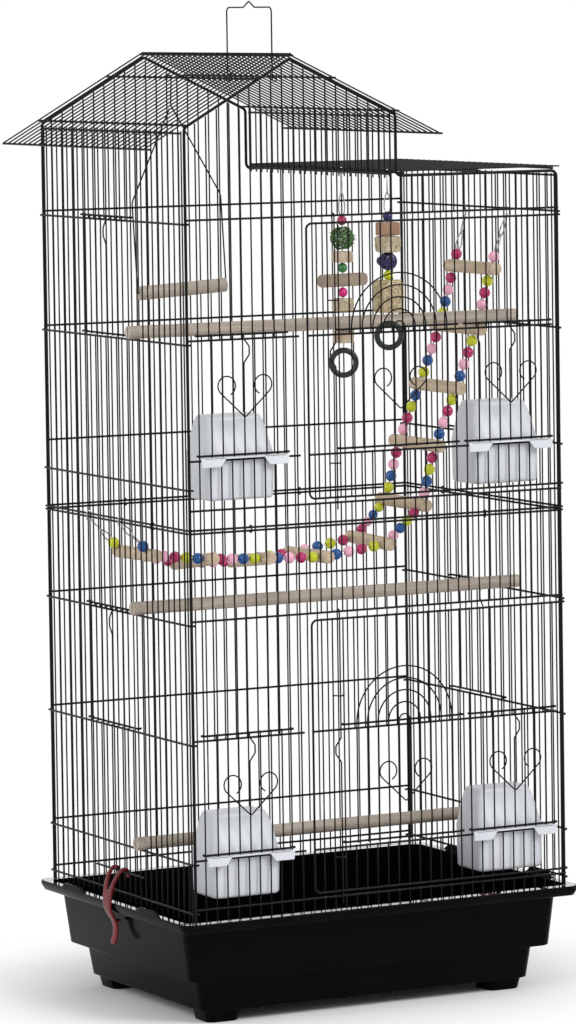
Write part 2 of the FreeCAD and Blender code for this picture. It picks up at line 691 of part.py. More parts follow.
def cup(name, x, rail):
    flange_z = rail + RAIL / 2 + WELD
    face = -HALF_DEPTH + CUP_SETBACK
    bottom = flange_z + CUP_FLANGE - CUP_BOWL
    brim = flange_z + CUP_FLANGE
    top = brim + CUP_HOOD
    middle = face + CUP_DEPTH / 2
    hood_middle = face + CUP_HOOD_DEPTH / 2 + CUP_HOOD_LEAN

    def shell(wall):
        rim = rounded(CUP_WIDTH / 2 - wall, CUP_DEPTH / 2 - wall, V(x, middle, brim), CUP_CORNER - wall)
        floor = rounded(CUP_WIDTH / 2 - CUP_TAPER - wall, CUP_DEPTH / 2 - CUP_TAPER - wall,
                        V(x, middle, bottom + wall), CUP_CORNER - wall)
        crown = rounded(CUP_HOOD_WIDTH / 2 - wall, CUP_HOOD_DEPTH / 2 - wall,
                        V(x, hood_middle, top - wall), CUP_CORNER - wall)
        return frustum(floor, rim).fuse(frustum(rim, crown))

    body = shell(0).cut(shell(CUP_WALL))
    mouth_low = brim + CUP_WALL
    mouth = Part.makeBox(CUP_MOUTH, CUP_DEPTH, CUP_HOOD - 3 * CUP_WALL,
                         V(x - CUP_MOUTH / 2, middle, mouth_low))
    rail_face = RAIL_OUT + RAIL / 2 + PLAY
    lip_y = -HALF_DEPTH - rail_face - CUP_FLANGE
    flange = Part.makeBox(CUP_FLANGE_HALF * 2, face + CUP_WALL - lip_y, CUP_FLANGE,
                          V(x - CUP_FLANGE_HALF, lip_y, flange_z))
    inside = [rounded(CUP_WIDTH / 2 - CUP_WALL, CUP_DEPTH / 2 - CUP_WALL, V(x, middle, z),
                      CUP_CORNER - CUP_WALL) for z in (flange_z - CUP_WALL, brim + CUP_WALL)]
    solid = body.cut(mouth).fuse(flange.cut(frustum(*inside)))
    for side in (-1, 1):
        hem = brim - CUP_TAB_DROP
        outline = [(CUP_TAB_IN, brim), (CUP_TAB_OUT, brim), (CUP_TAB_OUT - CUP_TAB_FLANK, hem),
                   (CUP_TAB_IN + CUP_TAB_SLANT, hem)]
        corners = [V(x + side * u, lip_y, z) for u, z in outline]
        tab = Part.Face(Part.makePolygon(corners + corners[:1])).extrude(V(0, CUP_FLANGE, 0))
        solid = solid.fuse(tab)
    parts[name] = solid.removeSplitter().Solids


# Wooden perches, slotted at both ends to straddle one mesh wire of each side wall
def perch(name, rail):
    y = side_u(PERCH_WIRE)
    z = rail + RAIL / 2 + WELD + PERCH / 2
    end = HALF_WIDTH + PERCH_END
    slot = WIRE + 2 * PLAY
    bar = rod(V(-end, y, z), V(end, y, z), PERCH)
    depth = PERCH_END + WIRE / 2 + PERCH_SLOT_DEPTH
    for start in (-end, end - depth):
        bar = bar.cut(Part.makeBox(depth, slot, PERCH, V(start, y - slot / 2, z - PERCH / 2)))
    parts[name] = [bar]


# Swing: a bent wire hanger over a roof wire, with a wooden dowel
def swing():
    along, normal = slope(-1)
    pivot = V(RIDGE_X, SWING_Y, RIDGE_Z) + along * roof_run(-1, RIDGE_X - SWING_RAIL_RUN)
    hook = RAIL / 2 + PLAY + WIRE / 2
    half = SWING_SPAN / 2
    dowel_z = -SWING_DROP
    inner = half - SWING_DOWEL / 2
    outline = [(-hook, -hook), (-hook, hook), (hook, hook), (hook, -hook), (0, -SWING_APEX),
               (half, -SWING_SHOULDER), (half, dowel_z), (inner, dowel_z)]
    turns = [hook, hook, hook * 0.8, hook * 2, SWING_DOWEL, WIRE * 1.5]
    side = bent([pivot + V(u, 0, z) for u, z in outline], WIRE, turns)
    other = [(-WIRE - WELD, -SWING_APEX - 2 * WIRE), (-half, -SWING_SHOULDER), (-half, dowel_z),
             (-inner, dowel_z)]
    mirror = bent([pivot + V(u, 0, z) for u, z in other], WIRE, turns[-2:])
    dowel = rod(pivot + V(-half + WIRE, 0, dowel_z), pivot + V(half - WIRE, 0, dowel_z), SWING_DOWEL)
    bore = rod(pivot + V(-half, 0, dowel_z), pivot + V(half, 0, dowel_z), WIRE + 2 * WELD)
    hanger = [side, mirror]
    wood = dowel.cut(bore)
    for piece in hanger + [wood]:
        piece.rotate(pivot, V(0, 1, 0), -SWING_TILT)
    parts["swing_hanger"] = hanger
    parts["swing_dowel"] = [wood]


# Hanging toys: pieces threaded on one cord below a hook over the flat top's rail
def threaded(shape, y, z):
    reach = V(0, 0, BALL_TOY_STICK[1])
    centre = V(TOY_X, y, z)
    return shape.cut(rod(centre - reach, centre + reach, CORD + 2 * BORE_PLAY))


def toy_hanger(y, drop):
    hook = RAIL / 2 + PLAY + CORD / 2
    pivot = V(TOY_X, y, FLAT_RAIL_Z)
    line = [(-hook, -2 * hook), (-hook, hook), (hook, hook), (hook, -2 * hook), (0, -4 * hook),
            (0, -drop + WELD)]
    return bent([pivot + V(u, 0, z) for u, z in line], CORD, hook)


def toy_bead(y, drop, size):
    z = FLAT_RAIL_Z - drop
    return threaded(Part.makeSphere(size / 2, V(TOY_X, y, z)), y, z)


def toy_block(y, drop, width, depth, height):
    z = FLAT_RAIL_Z - drop
    corner = V(TOY_X - width / 2, y - depth / 2, z - height / 2)
    return threaded(Part.makeBox(width, depth, height, corner), y, z)


def toy_drum(y, drop, size, height):
    z = FLAT_RAIL_Z - drop
    return threaded(Part.makeCylinder(size / 2, height, V(TOY_X, y, z - height / 2)), y, z)


def toy_ring(y, drop, size):
    centre = V(TOY_X, y, FLAT_RAIL_Z - drop - size / 2)
    return Part.makeTorus((size - RING_TUBE) / 2, RING_TUBE / 2, centre, V(0, 1, 0))


def ball_toy():
    y = side_u(BALL_TOY_GAP)
    beads = [toy_bead(y, drop, TOY_BEAD) for drop in BALL_TOY_BEADS]
    parts["ball_toy_hanger"] = [toy_hanger(y, BALL_TOY_RING[0])]
    parts["ball_toy_beads"] = beads + [toy_drum(y, *BALL_TOY_COLLAR)]
    parts["ball_toy_ball"] = [toy_bead(y, *BALL_TOY_BALL)]
    parts["ball_toy_wood"] = [toy_block(y, *BALL_TOY_BLOCK), toy_block(y, *BALL_TOY_STICK),
                              toy_drum(y, *BALL_TOY_PUCK)]
    parts["ball_toy_loofah"] = [toy_drum(y, *BALL_TOY_LOOFAH)]
    parts["ball_toy_ring"] = [toy_ring(y, *BALL_TOY_RING)]


def loofah_toy():
    y = side_u(LOOFAH_TOY_GAP)
    parts["loofah_toy_hanger"] = [toy_hanger(y, LOOFAH_TOY_RING[0])]
    parts["loofah_toy_beads"] = [toy_bead(y, drop, TOY_BEAD) for drop in LOOFAH_TOY_BEADS]
    parts["loofah_toy_wood"] = [toy_block(y, *LOOFAH_TOY_BLOCK), toy_block(y, *LOOFAH_TOY_PALE_BLOCK)]
    parts["loofah_toy_ball"] = [toy_bead(y, *LOOFAH_TOY_BALL)]
    parts["loofah_toy_roll"] = [toy_drum(y, *LOOFAH_TOY_ROLL)]
    parts["loofah_toy_ring"] = [toy_ring(y, *LOOFAH_TOY_RING)]


# Bead bridge: rungs on two strands from the right wall down and across to the left wall
def bridge_stations():
    """Centre and direction of each rung, from the right wall down and across to the left wall."""
    stations = [(V(HALF_WIDTH - inset, y, SIDE_UPPER[2] - drop), V(0, 1, 0))
                for inset, y, drop in BRIDGE_HANGING]
    for reach, y, drop, turn, dip in BRIDGE_LEVEL:
        angle = math.radians(turn)
        slope = math.radians(dip)
        along = V(math.sin(angle) * math.cos(slope), math.cos(angle) * math.cos(slope), -math.sin(slope))
        stations.append((V(reach - HALF_WIDTH, y, SEAM_HIGH - drop), along))
    return stations


def strand_points(side, start_y, end_y):
    """Strand from a hook over the right rail, through the rungs, to a hook over the left seam rail."""
    hook = RAIL / 2 + PLAY + STRAND / 2
    leg = 3 * hook
    rail = SIDE_UPPER[2]
    begin = [right(start_y, RAIL_OUT + hook, rail - leg), right(start_y, RAIL_OUT + hook, rail + hook),
             right(start_y, RAIL_OUT - hook, rail + hook), right(start_y, RAIL_OUT - hook, rail - leg)]
    end = [left(end_y, RAIL_OUT - hook, SEAM_HIGH - leg), left(end_y, RAIL_OUT - hook, SEAM_HIGH + hook),
           left(end_y, RAIL_OUT + hook, SEAM_HIGH + hook), left(end_y, RAIL_OUT + hook, SEAM_HIGH - leg)]
    knots = [centre + along * (side * STRAND_SPAN / 2) for centre, along in bridge_stations()]
    radii = [hook, hook, hook] + [STRAND * 2] * len(knots) + [hook, hook, hook]
    return knots, begin + knots + end, radii


def along_gap(start, end, rungs, count):
    """Bead centres between two rungs, their direction and the size that fits at the rungs' slant."""
    run = end - start
    way = V(run).normalize()
    lean = [way.cross(along).Length for along in rungs]
    first = RUNG / 2 / lean[0]
    free = run.Length - first - RUNG / 2 / lean[1]
    size = min(BEAD, free / count * min(lean) - BEAD_GAP)
    return [(start + way * (first + free * (k + 0.5) / count), way, size) for k in range(count)]


def bridge_bead(centre, way, size):
    reach = way * BEAD
    ball = Part.makeSphere(size / 2, centre, way)
    return ball.cut(rod(centre - reach, centre + reach, STRAND + 2 * BORE_PLAY))


def rung_bore(before, knot, after):
    """Hole through a rung, wide enough for the strand's turn inside it."""
    arrive = (knot - before).normalize()
    leave = (after - knot).normalize()
    way = (arrive + leave).normalize()
    spread = RUNG * math.tan(arrive.getAngle(leave) / 2)
    return rod(knot - way * RUNG, knot + way * RUNG, spread + STRAND + 2 * BORE_PLAY)


def bridge():
    colours = {"c": "crimson", "p": "pink", "b": "blue", "y": "yellow"}
    beads = {code: [] for code in colours}
    rungs = []
    ways = []
    for centre, along in bridge_stations():
        half = along * (RUNG_LENGTH / 2)
        rungs.append(rod(centre - half, centre + half, RUNG))
        ways.append(along)
    wires = []
    strands = ((-1, STRAND_FRONT_GAP, LEFT_HOOK_FRONT_GAP, FRONT_BEADS, FRONT_END_BEADS),
               (1, STRAND_BACK_GAP, LEFT_HOOK_BACK_GAP, BACK_BEADS, BACK_END_BEADS))
    for side, start, end, groups, end_beads in strands:
        knots, points, radii = strand_points(side, side_u(start), side_u(end))
        wires.append(bent(points, STRAND, radii))
        ends = [points[3]] + knots + [points[-4]]
        for i, knot in enumerate(knots):
            rungs[i] = rungs[i].cut(rung_bore(ends[i], knot, ends[i + 2]))
        for i, group in enumerate(groups):
            places = along_gap(knots[i], knots[i + 1], ways[i:i + 2], len(group))
            for code, (centre, way, size) in zip(group, places):
                beads[code].append(bridge_bead(centre, way, size))
        last_rungs = (ways[0], ways[-1])
        for code, knot, beyond, along in zip(end_beads, (knots[0], knots[-1]), (ends[0], ends[-1]), last_rungs):
            way = (beyond - knot).normalize()
            reach = (RUNG + BEAD_STEP) / 2 / way.cross(along).Length
            beads[code].append(bridge_bead(knot + way * reach, way, BEAD))
    parts["bridge_wires"] = wires
    parts["bridge_rungs"] = rungs
    for code, colour in colours.items():
        parts["bridge_beads_" + colour] = beads[code]


# Moulded tray with a stepped tub, a skirted rim that takes the wire walls and four feet
RIM_X = HALF_WIDTH + RIM_OVERHANG_X
RIM_Y = HALF_DEPTH + RIM_OVERHANG_Y


def tray():
    top_x, top_y = RIM_X - SHELF_X, RIM_Y - SHELF_Y
    mid_x, mid_y = top_x - TUB_TAPER_X, top_y - TUB_TAPER_Y
    low_x, low_y = mid_x - STEP_INSET_X, mid_y - STEP_INSET_Y
    base_x, base_y = low_x - BASE_TAPER_X, low_y - BASE_TAPER_Y
    plate_under = RIM_TOP - TRAY_WALL

    def section(half_x, half_y, z, wall=0):
        return rounded(half_x - wall, half_y - wall, V(0, 0, z), TRAY_CORNER - wall)

    def rim_block(wall, top):
        hem = section(RIM_X - RIM_BEVEL, RIM_Y - RIM_BEVEL, RIM_Z, wall)
        edge = section(RIM_X, RIM_Y, RIM_TOP - RIM_EDGE, wall)
        return frustum(hem, edge).fuse(frustum(edge, section(RIM_X, RIM_Y, top, wall)))

    lower = frustum(section(base_x, base_y, FOOT_HEIGHT), section(low_x, low_y, STEP_Z))
    upper = frustum(section(mid_x, mid_y, STEP_Z), section(top_x, top_y, RIM_TOP))
    rim = rim_block(0, RIM_TOP).cut(rim_block(TRAY_WALL, plate_under))
    lower_hollow = frustum(section(base_x, base_y, FOOT_HEIGHT + TRAY_WALL, TRAY_WALL),
                           section(low_x, low_y, STEP_Z + TRAY_WALL, TRAY_WALL))
    upper_hollow = frustum(section(mid_x, mid_y, STEP_Z + TRAY_WALL, TRAY_WALL),
                           section(top_x, top_y, plate_under, TRAY_WALL))
    hole_x, hole_y = HALF_WIDTH - LEDGE, top_y - TRAY_WALL
    hole = frustum(section(hole_x, hole_y, plate_under), section(hole_x, hole_y, RIM_TOP))
    body = lower.fuse(upper).fuse(rim)
    for hollow in (lower_hollow, upper_hollow, hole):
        body = body.cut(hollow)
    foot_x = base_x - FOOT_SETBACK - FOOT_LENGTH / 2
    foot_y = base_y - FOOT_SETBACK - FOOT_WIDTH / 2
    for sx in (-1, 1):
        for sy in (-1, 1):
            centre = V(sx * foot_x, sy * foot_y, 0)
            sole = rounded(FOOT_LENGTH / 2 - TRAY_WALL, FOOT_WIDTH / 2 - TRAY_WALL, centre, FOOT_CORNER)
            root = rounded(FOOT_LENGTH / 2, FOOT_WIDTH / 2, centre + V(0, 0, FOOT_HEIGHT), FOOT_CORNER)
            body = body.fuse(frustum(sole, root))
            x = sx * (RIM_X - TRAY_WALL / 2)
            y = sy * TAB_SPACING / 2
            half = TAB_LENGTH / 2
            short = half - TAB_HEIGHT
            corners = ((-half, 0), (half, 0), (short, TAB_HEIGHT), (-short, TAB_HEIGHT))
            outline = [V(x - TRAY_WALL / 2, y + u, RIM_TOP + z) for u, z in corners]
            tab = Part.Face(Part.makePolygon(outline + outline[:1])).extrude(V(TRAY_WALL, 0, 0))
            body = body.fuse(tab)
    parts["base_tray"] = body.removeSplitter().Solids


def tray_latch(name, wall):
    """Two-pronged plastic latch that pivots on a wire bar and lies over the tray's rim."""
    knuckle = RAIL / 2 + WELD + LATCH_KNUCKLE
    middle = side_u(LATCH_FIRST + LATCH_GAPS / 2)
    rim_face = RIM_OVERHANG_X + PLAY
    outer = rim_face + LATCH_PLATE
    rail_face = RAIL_OUT + RAIL / 2 + PLAY
    tail = RIM_Z - LATCH_TAIL
    bend = tail + 2 * LATCH_PLATE
    side_line = [(rail_face, LATCH_BAR), (rail_face, RIM_TOP + 2 * LATCH_PLATE), (rim_face, RIM_TOP),
                 (rim_face, bend), (rim_face + LATCH_FLARE, tail), (outer + LATCH_FLARE, tail),
                 (outer, bend), (outer, RIM_Z), (outer + LATCH_FLARE, RIM_TOP),
                 (outer, RIM_TOP + 3 * LATCH_PLATE), (RAIL_OUT + knuckle, LATCH_BAR)]
    reach = PITCH + PRONG / 2
    inside = PITCH - PRONG / 2
    waist = LATCH_WAIST / 2
    yoke = BOTTOM_RAIL - LATCH_PLATE
    over = LATCH_BAR + knuckle
    prong_line = [(inside, over), (inside, yoke + LATCH_PLATE), (inside - LATCH_PLATE, yoke)]
    edge_line = [(LATCH_PLATE - waist, tail), (-waist, tail + LATCH_PLATE), (-waist, RIM_TOP - LATCH_PLATE),
                 (LATCH_PLATE - reach, RIM_TOP + LATCH_PLATE), (-reach, yoke), (-reach, over)]
    face_line = prong_line + [(-u, z) for u, z in reversed(prong_line)]
    face_line += list(reversed(edge_line)) + [(-u, z) for u, z in edge_line]
    along = wall(2 * reach, 0, 0) - wall(0, 0, 0)
    outward = wall(0, 4 * outer, 0) - wall(0, 0, 0)
    profile = [wall(middle - reach, out, z) for out, z in side_line]
    plate = Part.Face(Part.makePolygon(profile + profile[:1])).extrude(along)
    barrel = [wall(middle + side * reach, RAIL_OUT, LATCH_BAR) for side in (-1, 1)]
    plate = plate.fuse(rod(barrel[0], barrel[1], 2 * knuckle))
    shape = [wall(middle + u, -outer, z) for u, z in face_line]
    plate = plate.common(Part.Face(Part.makePolygon(shape + shape[:1])).extrude(outward))
    ends = [wall(middle + side * 2 * reach, RAIL_OUT, LATCH_BAR) for side in (-1, 1)]
    bore = rod(ends[0], ends[1], RAIL + 2 * WELD)
    parts[name] = plate.cut(bore).removeSplitter().Solids


front_walls()
back_walls()
side_walls()
roof_panels()
flat_top()
loft_side()
carry_handle()
seam_clips()
for half, sill, rails in (("lower", BOTTOM_RAIL, LOWER_RAILS), ("upper", SILL, UPPER_RAILS)):
    main_door(half, sill, rails)
    latch_rod(half, sill, rails)
    inner_door(half + "_inner_door", rails[0])
    for side, first in (("left", LEFT_FEEDER), ("right", RIGHT_FEEDER)):
        feeder_door("%s_%s_feeder_door" % (half, side), first, rails[0])
        cup("%s_%s_cup" % (half, side), front_u(first + FEEDER_GAPS / 2), rails[0])
side_doors = (("lower_left", left, SIDE_LOWER[2]), ("upper_left", left, SIDE_UPPER[1]),
              ("lower_right", right, SIDE_LOWER[2]), ("upper_right", right, SIDE_UPPER[0]))
for name, wall, rail in side_doors:
    low = rail + SIDE_BAR_RISE
    parts[name + "_side_door"] = sliding_door(wall, side_u, SIDE_FIRST, SIDE_DOOR_GAPS, low)
for name, rail in (("bottom", SIDE_LOWER[1]), ("middle", SIDE_LOWER[3]), ("top", SIDE_UPPER[1])):
    perch(name + "_perch", rail)
swing()
ball_toy()
loofah_toy()
bridge()
tray()
tray_latch("tray_latch_left", left)
tray_latch("tray_latch_right", right)

os.makedirs("parts", exist_ok=True)
for name, solids in parts.items():
    Part.makeCompound(solids).exportStep("parts/%s.step" % name)
    volume = sum(solid.Volume for solid in solids)
    good = all(solid.isValid() for solid in solids)
    print("%-26s solids %3d  volume %10.1f  valid %s" % (name, len(solids), volume, good))
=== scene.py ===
import math
import random

import bmesh
import bpy
from mathutils import Matrix, Vector, noise


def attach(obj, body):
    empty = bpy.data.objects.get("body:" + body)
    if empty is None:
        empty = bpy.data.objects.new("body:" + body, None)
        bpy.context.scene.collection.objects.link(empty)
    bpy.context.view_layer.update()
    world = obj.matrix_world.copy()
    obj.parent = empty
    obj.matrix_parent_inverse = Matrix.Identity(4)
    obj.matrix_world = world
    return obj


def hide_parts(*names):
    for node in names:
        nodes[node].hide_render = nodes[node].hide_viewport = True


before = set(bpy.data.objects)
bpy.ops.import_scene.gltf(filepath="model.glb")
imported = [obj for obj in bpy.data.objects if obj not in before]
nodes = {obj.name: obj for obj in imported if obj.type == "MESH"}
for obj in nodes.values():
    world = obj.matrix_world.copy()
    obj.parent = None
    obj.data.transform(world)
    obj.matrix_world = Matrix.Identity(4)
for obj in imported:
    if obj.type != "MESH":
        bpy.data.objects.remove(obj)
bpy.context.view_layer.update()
MM = 0.001

# Base tray: one injection-moulded tub of black plastic, in two steps, standing on four feet.
# Its polished flange carries the wire walls, and four low tabs on its short sides keep them in place.
RIM_TOP = 107.5
RIM_EDGE = 104.0
RIM_HEM = 97.5
RIM_BEVEL = 4.0
PLATE_UNDER = 105.0
TUB_NECK = 98.0
GUTTER = 100.0
STEP = 45.0
FOOT = 12.0
TRAY_WALL = 2.5
RIM = (225.5, 169.0)
SHINE_OUT = (224.0, 167.5)
SHINE_IN = (217.0, 157.0)
SEAT = (207.5, 153.0)
PLATE_ROOT = (212.0, 156.0)
TUB_TOP = (212.0, 145.0)
TUB_FOOT = (204.5, 144.0)
BASE_TOP = (191.5, 132.0)
BASE_FOOT = (185.5, 131.0)
HOLE = (206.0, 141.5)
TRAY_CORNER = 12.0
TRAY_EDGE = 0.9
NOISE_LOW = 0.3
NOISE_HIGH = 0.7


def tint(code):
    """Linear colour of a six-digit sRGB code."""
    shares = [int(code[i:i + 2], 16) / 255 for i in (0, 2, 4)]
    return [c / 12.92 if c < 0.04045 else ((c + 0.055) / 1.055) ** 2.4 for c in shares] + [1.0]


def new_finish(name):
    """A node material, its surface shader and the object's own coordinates in metres."""
    made = bpy.data.materials.new(name)
    made.use_nodes = True
    tree = made.node_tree
    shader = tree.nodes["Principled BSDF"]
    place = tree.nodes.new("ShaderNodeTexCoord").outputs["Object"]
    return made, tree, shader, place


def cloud(tree, place, size, detail=4.0, stretch=(1, 1, 1)):
    """Noise whose lumps have about the given size in millimetres, squeezed along each axis."""
    spread = tree.nodes.new("ShaderNodeMapping")
    spread.inputs["Scale"].default_value = stretch
    lumps = tree.nodes.new("ShaderNodeTexNoise")
    lumps.inputs["Scale"].default_value = 1 / (size * MM)
    lumps.inputs["Detail"].default_value = detail
    tree.links.new(place, spread.inputs["Vector"])
    tree.links.new(spread.outputs["Vector"], lumps.inputs["Vector"])
    return lumps.outputs["Fac"]


def colours(tree, value, stops):
    """Colours read off a value: each stop is a position and an sRGB code."""
    ramp = tree.nodes.new("ShaderNodeValToRGB")
    band = ramp.color_ramp
    while len(band.elements) < len(stops):
        band.elements.new(0.5)
    for element, (position, code) in zip(band.elements, stops):
        element.position = position
        element.color = tint(code)
    tree.links.new(value, ramp.inputs["Fac"])
    return ramp.outputs["Color"]


def spread_between(tree, value, low, high):
    """A noise value, spread over a range of its own."""
    reach = tree.nodes.new("ShaderNodeMapRange")
    reach.inputs["From Min"].default_value = NOISE_LOW
    reach.inputs["From Max"].default_value = NOISE_HIGH
    reach.inputs["To Min"].default_value = low
    reach.inputs["To Max"].default_value = high
    tree.links.new(value, reach.inputs["Value"])
    return reach.outputs["Result"]


def raise_bumps(tree, shader, value, depth):
    """Relief of the given depth in millimetres."""
    bump = tree.nodes.new("ShaderNodeBump")
    bump.inputs["Distance"].default_value = depth * MM
    bump.inputs["Strength"].default_value = 1.0
    tree.links.new(value, bump.inputs["Height"])
    tree.links.new(bump.outputs["Normal"], shader.inputs["Normal"])


def moulded(name, stops, roughness, grain_depth, specular):
    """Moulded plastic: cloudy colour, uneven polish and a fine mould grain."""
    made, tree, shader, place = new_finish(name)
    patches = cloud(tree, place, 40.0)
    grain = cloud(tree, place, 0.7, detail=2.0)
    tree.links.new(colours(tree, patches, stops), shader.inputs["Base Color"])
    tree.links.new(spread_between(tree, patches, *roughness), shader.inputs["Roughness"])
    shader.inputs["Specular IOR Level"].default_value = specular
    raise_bumps(tree, shader, grain, grain_depth)
    return made


def rounded_ring(half, corner, centre, steps=8):
    """Points of a rounded rectangle, level, in millimetres about a centre."""
    ring = []
    for turn, (sx, sy) in enumerate(((1, 1), (-1, 1), (-1, -1), (1, -1))):
        for k in range(steps + 1):
            angle = math.pi / 2 * (turn + k / steps)
            ring.append(Vector((centre[0] + sx * (half[0] - corner) + corner * math.cos(angle),
                                centre[1] + sy * (half[1] - corner) + corner * math.sin(angle),
                                centre[2])) * MM)
    return ring


def add_skin(shape, rings, cap=True, loop=False):
    """Faces from ring to ring, with the first and the last ring closed; gives the faces row by row."""
    rows = [[shape.verts.new(point) for point in ring] for ring in rings]
    pairs = list(zip(rows, rows[1:]))
    if loop:
        pairs.append((rows[-1], rows[0]))
    bands = []
    for here, there in pairs:
        band = []
        for k in range(len(here)):
            n = (k + 1) % len(here)
            band.append(shape.faces.new((here[k], here[n], there[n], there[k])))
        bands.append(band)
    if cap and not loop:
        shape.faces.new(list(reversed(rows[0])))
        shape.faces.new(rows[-1])
    return bands


def make_piece(name, shape, finishes, body, replaced=(), crease=35):
    """A piece of the object from a finished mesh, riding on its body."""
    bmesh.ops.recalc_face_normals(shape, faces=shape.faces)
    mesh = bpy.data.meshes.new(name)
    shape.to_mesh(mesh)
    shape.free()
    for finish in finishes:
        mesh.materials.append(finish)
    mesh.shade_smooth()
    mesh.set_sharp_from_angle(angle=math.radians(crease))
    piece = bpy.data.objects.new(name, mesh)
    bpy.context.scene.collection.objects.link(piece)
    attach(piece, body)
    if replaced:
        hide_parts(*replaced)
    return piece


def round_edges(piece, width, steps=3):
    bevel = piece.modifiers.new("round_edges", "BEVEL")
    bevel.width = width * MM
    bevel.segments = steps
    bevel.limit_method = "ANGLE"
    bevel.angle_limit = math.radians(40)
    bevel.harden_normals = False


tray_black = moulded("tray_black", [(0.35, "030303"), (0.65, "050505")], (0.12, 0.22), 0.002, 0.045)
flange_black = moulded("flange_black", [(0.35, "040404"), (0.65, "070707")], (0.03, 0.06), 0.001, 0.8)
flange_shader = flange_black.node_tree.nodes["Principled BSDF"]
flange_shader.inputs["Coat Weight"].default_value = 1.0
flange_shader.inputs["Coat Roughness"].default_value = 0.03
inner_black = moulded("inner_black", [(0.35, "040404"), (0.65, "070707")], (0.5, 0.65), 0.01, 0.0)
tray = bmesh.new()


def tray_ring(half, z, inset=0.0):
    return rounded_ring((half[0] - inset, half[1] - inset), TRAY_CORNER - inset, (0, 0, z))


tray_bands = add_skin(tray, [tray_ring(BASE_FOOT, FOOT), tray_ring(BASE_TOP, STEP), tray_ring(TUB_FOOT, STEP),
                             tray_ring(TUB_TOP, TUB_NECK), tray_ring(PLATE_ROOT, PLATE_UNDER),
                             tray_ring(RIM, PLATE_UNDER, TRAY_WALL), tray_ring(RIM, RIM_EDGE, TRAY_WALL),
                             tray_ring(RIM, RIM_HEM, TRAY_WALL + RIM_BEVEL), tray_ring(RIM, RIM_HEM, RIM_BEVEL),
                             tray_ring(RIM, RIM_EDGE), tray_ring(RIM, RIM_TOP), tray_ring(SHINE_OUT, RIM_TOP),
                             tray_ring(SHINE_IN, RIM_TOP), tray_ring(SEAT, RIM_TOP), tray_ring(HOLE, GUTTER),
                             tray_ring(TUB_FOOT, STEP + TRAY_WALL, TRAY_WALL),
                             tray_ring(BASE_TOP, STEP + TRAY_WALL, TRAY_WALL),
                             tray_ring(BASE_FOOT, FOOT + TRAY_WALL, TRAY_WALL)])
SHINE_BAND = 11
FLANGE_FINISH = 1
INNER_FINISH = 2
for face in tray_bands[SHINE_BAND]:
    face.material_index = FLANGE_FINISH
for band in tray_bands[SHINE_BAND + 1:]:
    for face in band:
        face.material_index = INNER_FINISH
FOOT_HALF = 20.0
FOOT_PLACE = (160.5, 106.0)
FOOT_TAPER = 2.5
FOOT_CORNER = 8.0
FOOT_ROOT = 0.5
TAB_HALF = 28.0
TAB_HEIGHT = 5.0
TAB_SLANT = 10.0
TAB_PLACE = 86.0
TAB_ROOT = 1.0
for sx in (-1, 1):
    for sy in (-1, 1):
        place = (sx * FOOT_PLACE[0], sy * FOOT_PLACE[1])
        sole = FOOT_HALF - FOOT_TAPER
        add_skin(tray, [rounded_ring((sole, sole), FOOT_CORNER, (*place, 0.0)),
                        rounded_ring((FOOT_HALF, FOOT_HALF), FOOT_CORNER, (*place, FOOT + FOOT_ROOT))])
        tab = []
        for x in (RIM[0] - TRAY_WALL, RIM[0]):
            short = TAB_HALF - TAB_SLANT
            outline = ((-TAB_HALF, -TAB_ROOT), (TAB_HALF, -TAB_ROOT), (short, TAB_HEIGHT), (-short, TAB_HEIGHT))
            tab.append([Vector((sx * x, sy * TAB_PLACE + u, RIM_TOP + z)) * MM for u, z in outline])
        add_skin(tray, tab)
base_tray = make_piece("base_tray_moulding", tray, [tray_black, flange_black, inner_black], "tray",
                       ["base_tray"])
round_edges(base_tray, TRAY_EDGE)

# Wire walls: eight panels of round steel wire, spot-welded to stouter rails and corner posts.
# They are dipped in a semi-gloss black powder coat, a little thicker and duller in places.
wire_black, tree, shader, place = new_finish("wire_black")
patches = cloud(tree, place, 18.0)
orange_peel = cloud(tree, place, 1.2, detail=2.0)
tree.links.new(colours(tree, patches, [(0.3, "060607"), (0.7, "0e0e0f")]), shader.inputs["Base Color"])
tree.links.new(spread_between(tree, patches, 0.3, 0.46), shader.inputs["Roughness"])
shader.inputs["Specular IOR Level"].default_value = 0.12
raise_bumps(tree, shader, orange_peel, 0.02)


def dress(finish, names):
    for name in names:
        for slot in nodes[name].material_slots:
            slot.material = finish


HALVES = ("lower", "upper")
SIDES = ("left", "right")
dress(wire_black, ["%s_%s_panel" % (half, wall) for half in HALVES for wall in ("front", "back", *SIDES)])
dress(wire_black, ["seam_clips"])

# Roof: two slopes over the left part, a flat deck over the right and the low wall between them.
# All are the same coated wire; the carry handle is one bent wire hooked under the ridge.
dress(wire_black, ["roof_left_panel", "roof_right_panel", "flat_top_panel", "loft_side_panel", "carry_handle"])

# Doors: large swing doors with their latch rods, and small doors that slide up on the wall wires.
# They are bent from the same wire, with thin wire hearts on their legs, and coated with the walls.
for half in HALVES:
    dress(wire_black, [half + "_main_door", half + "_door_latch", half + "_inner_door"])
    for side in SIDES:
        dress(wire_black, ["%s_%s_feeder_door" % (half, side), "%s_%s_side_door" % (half, side)])

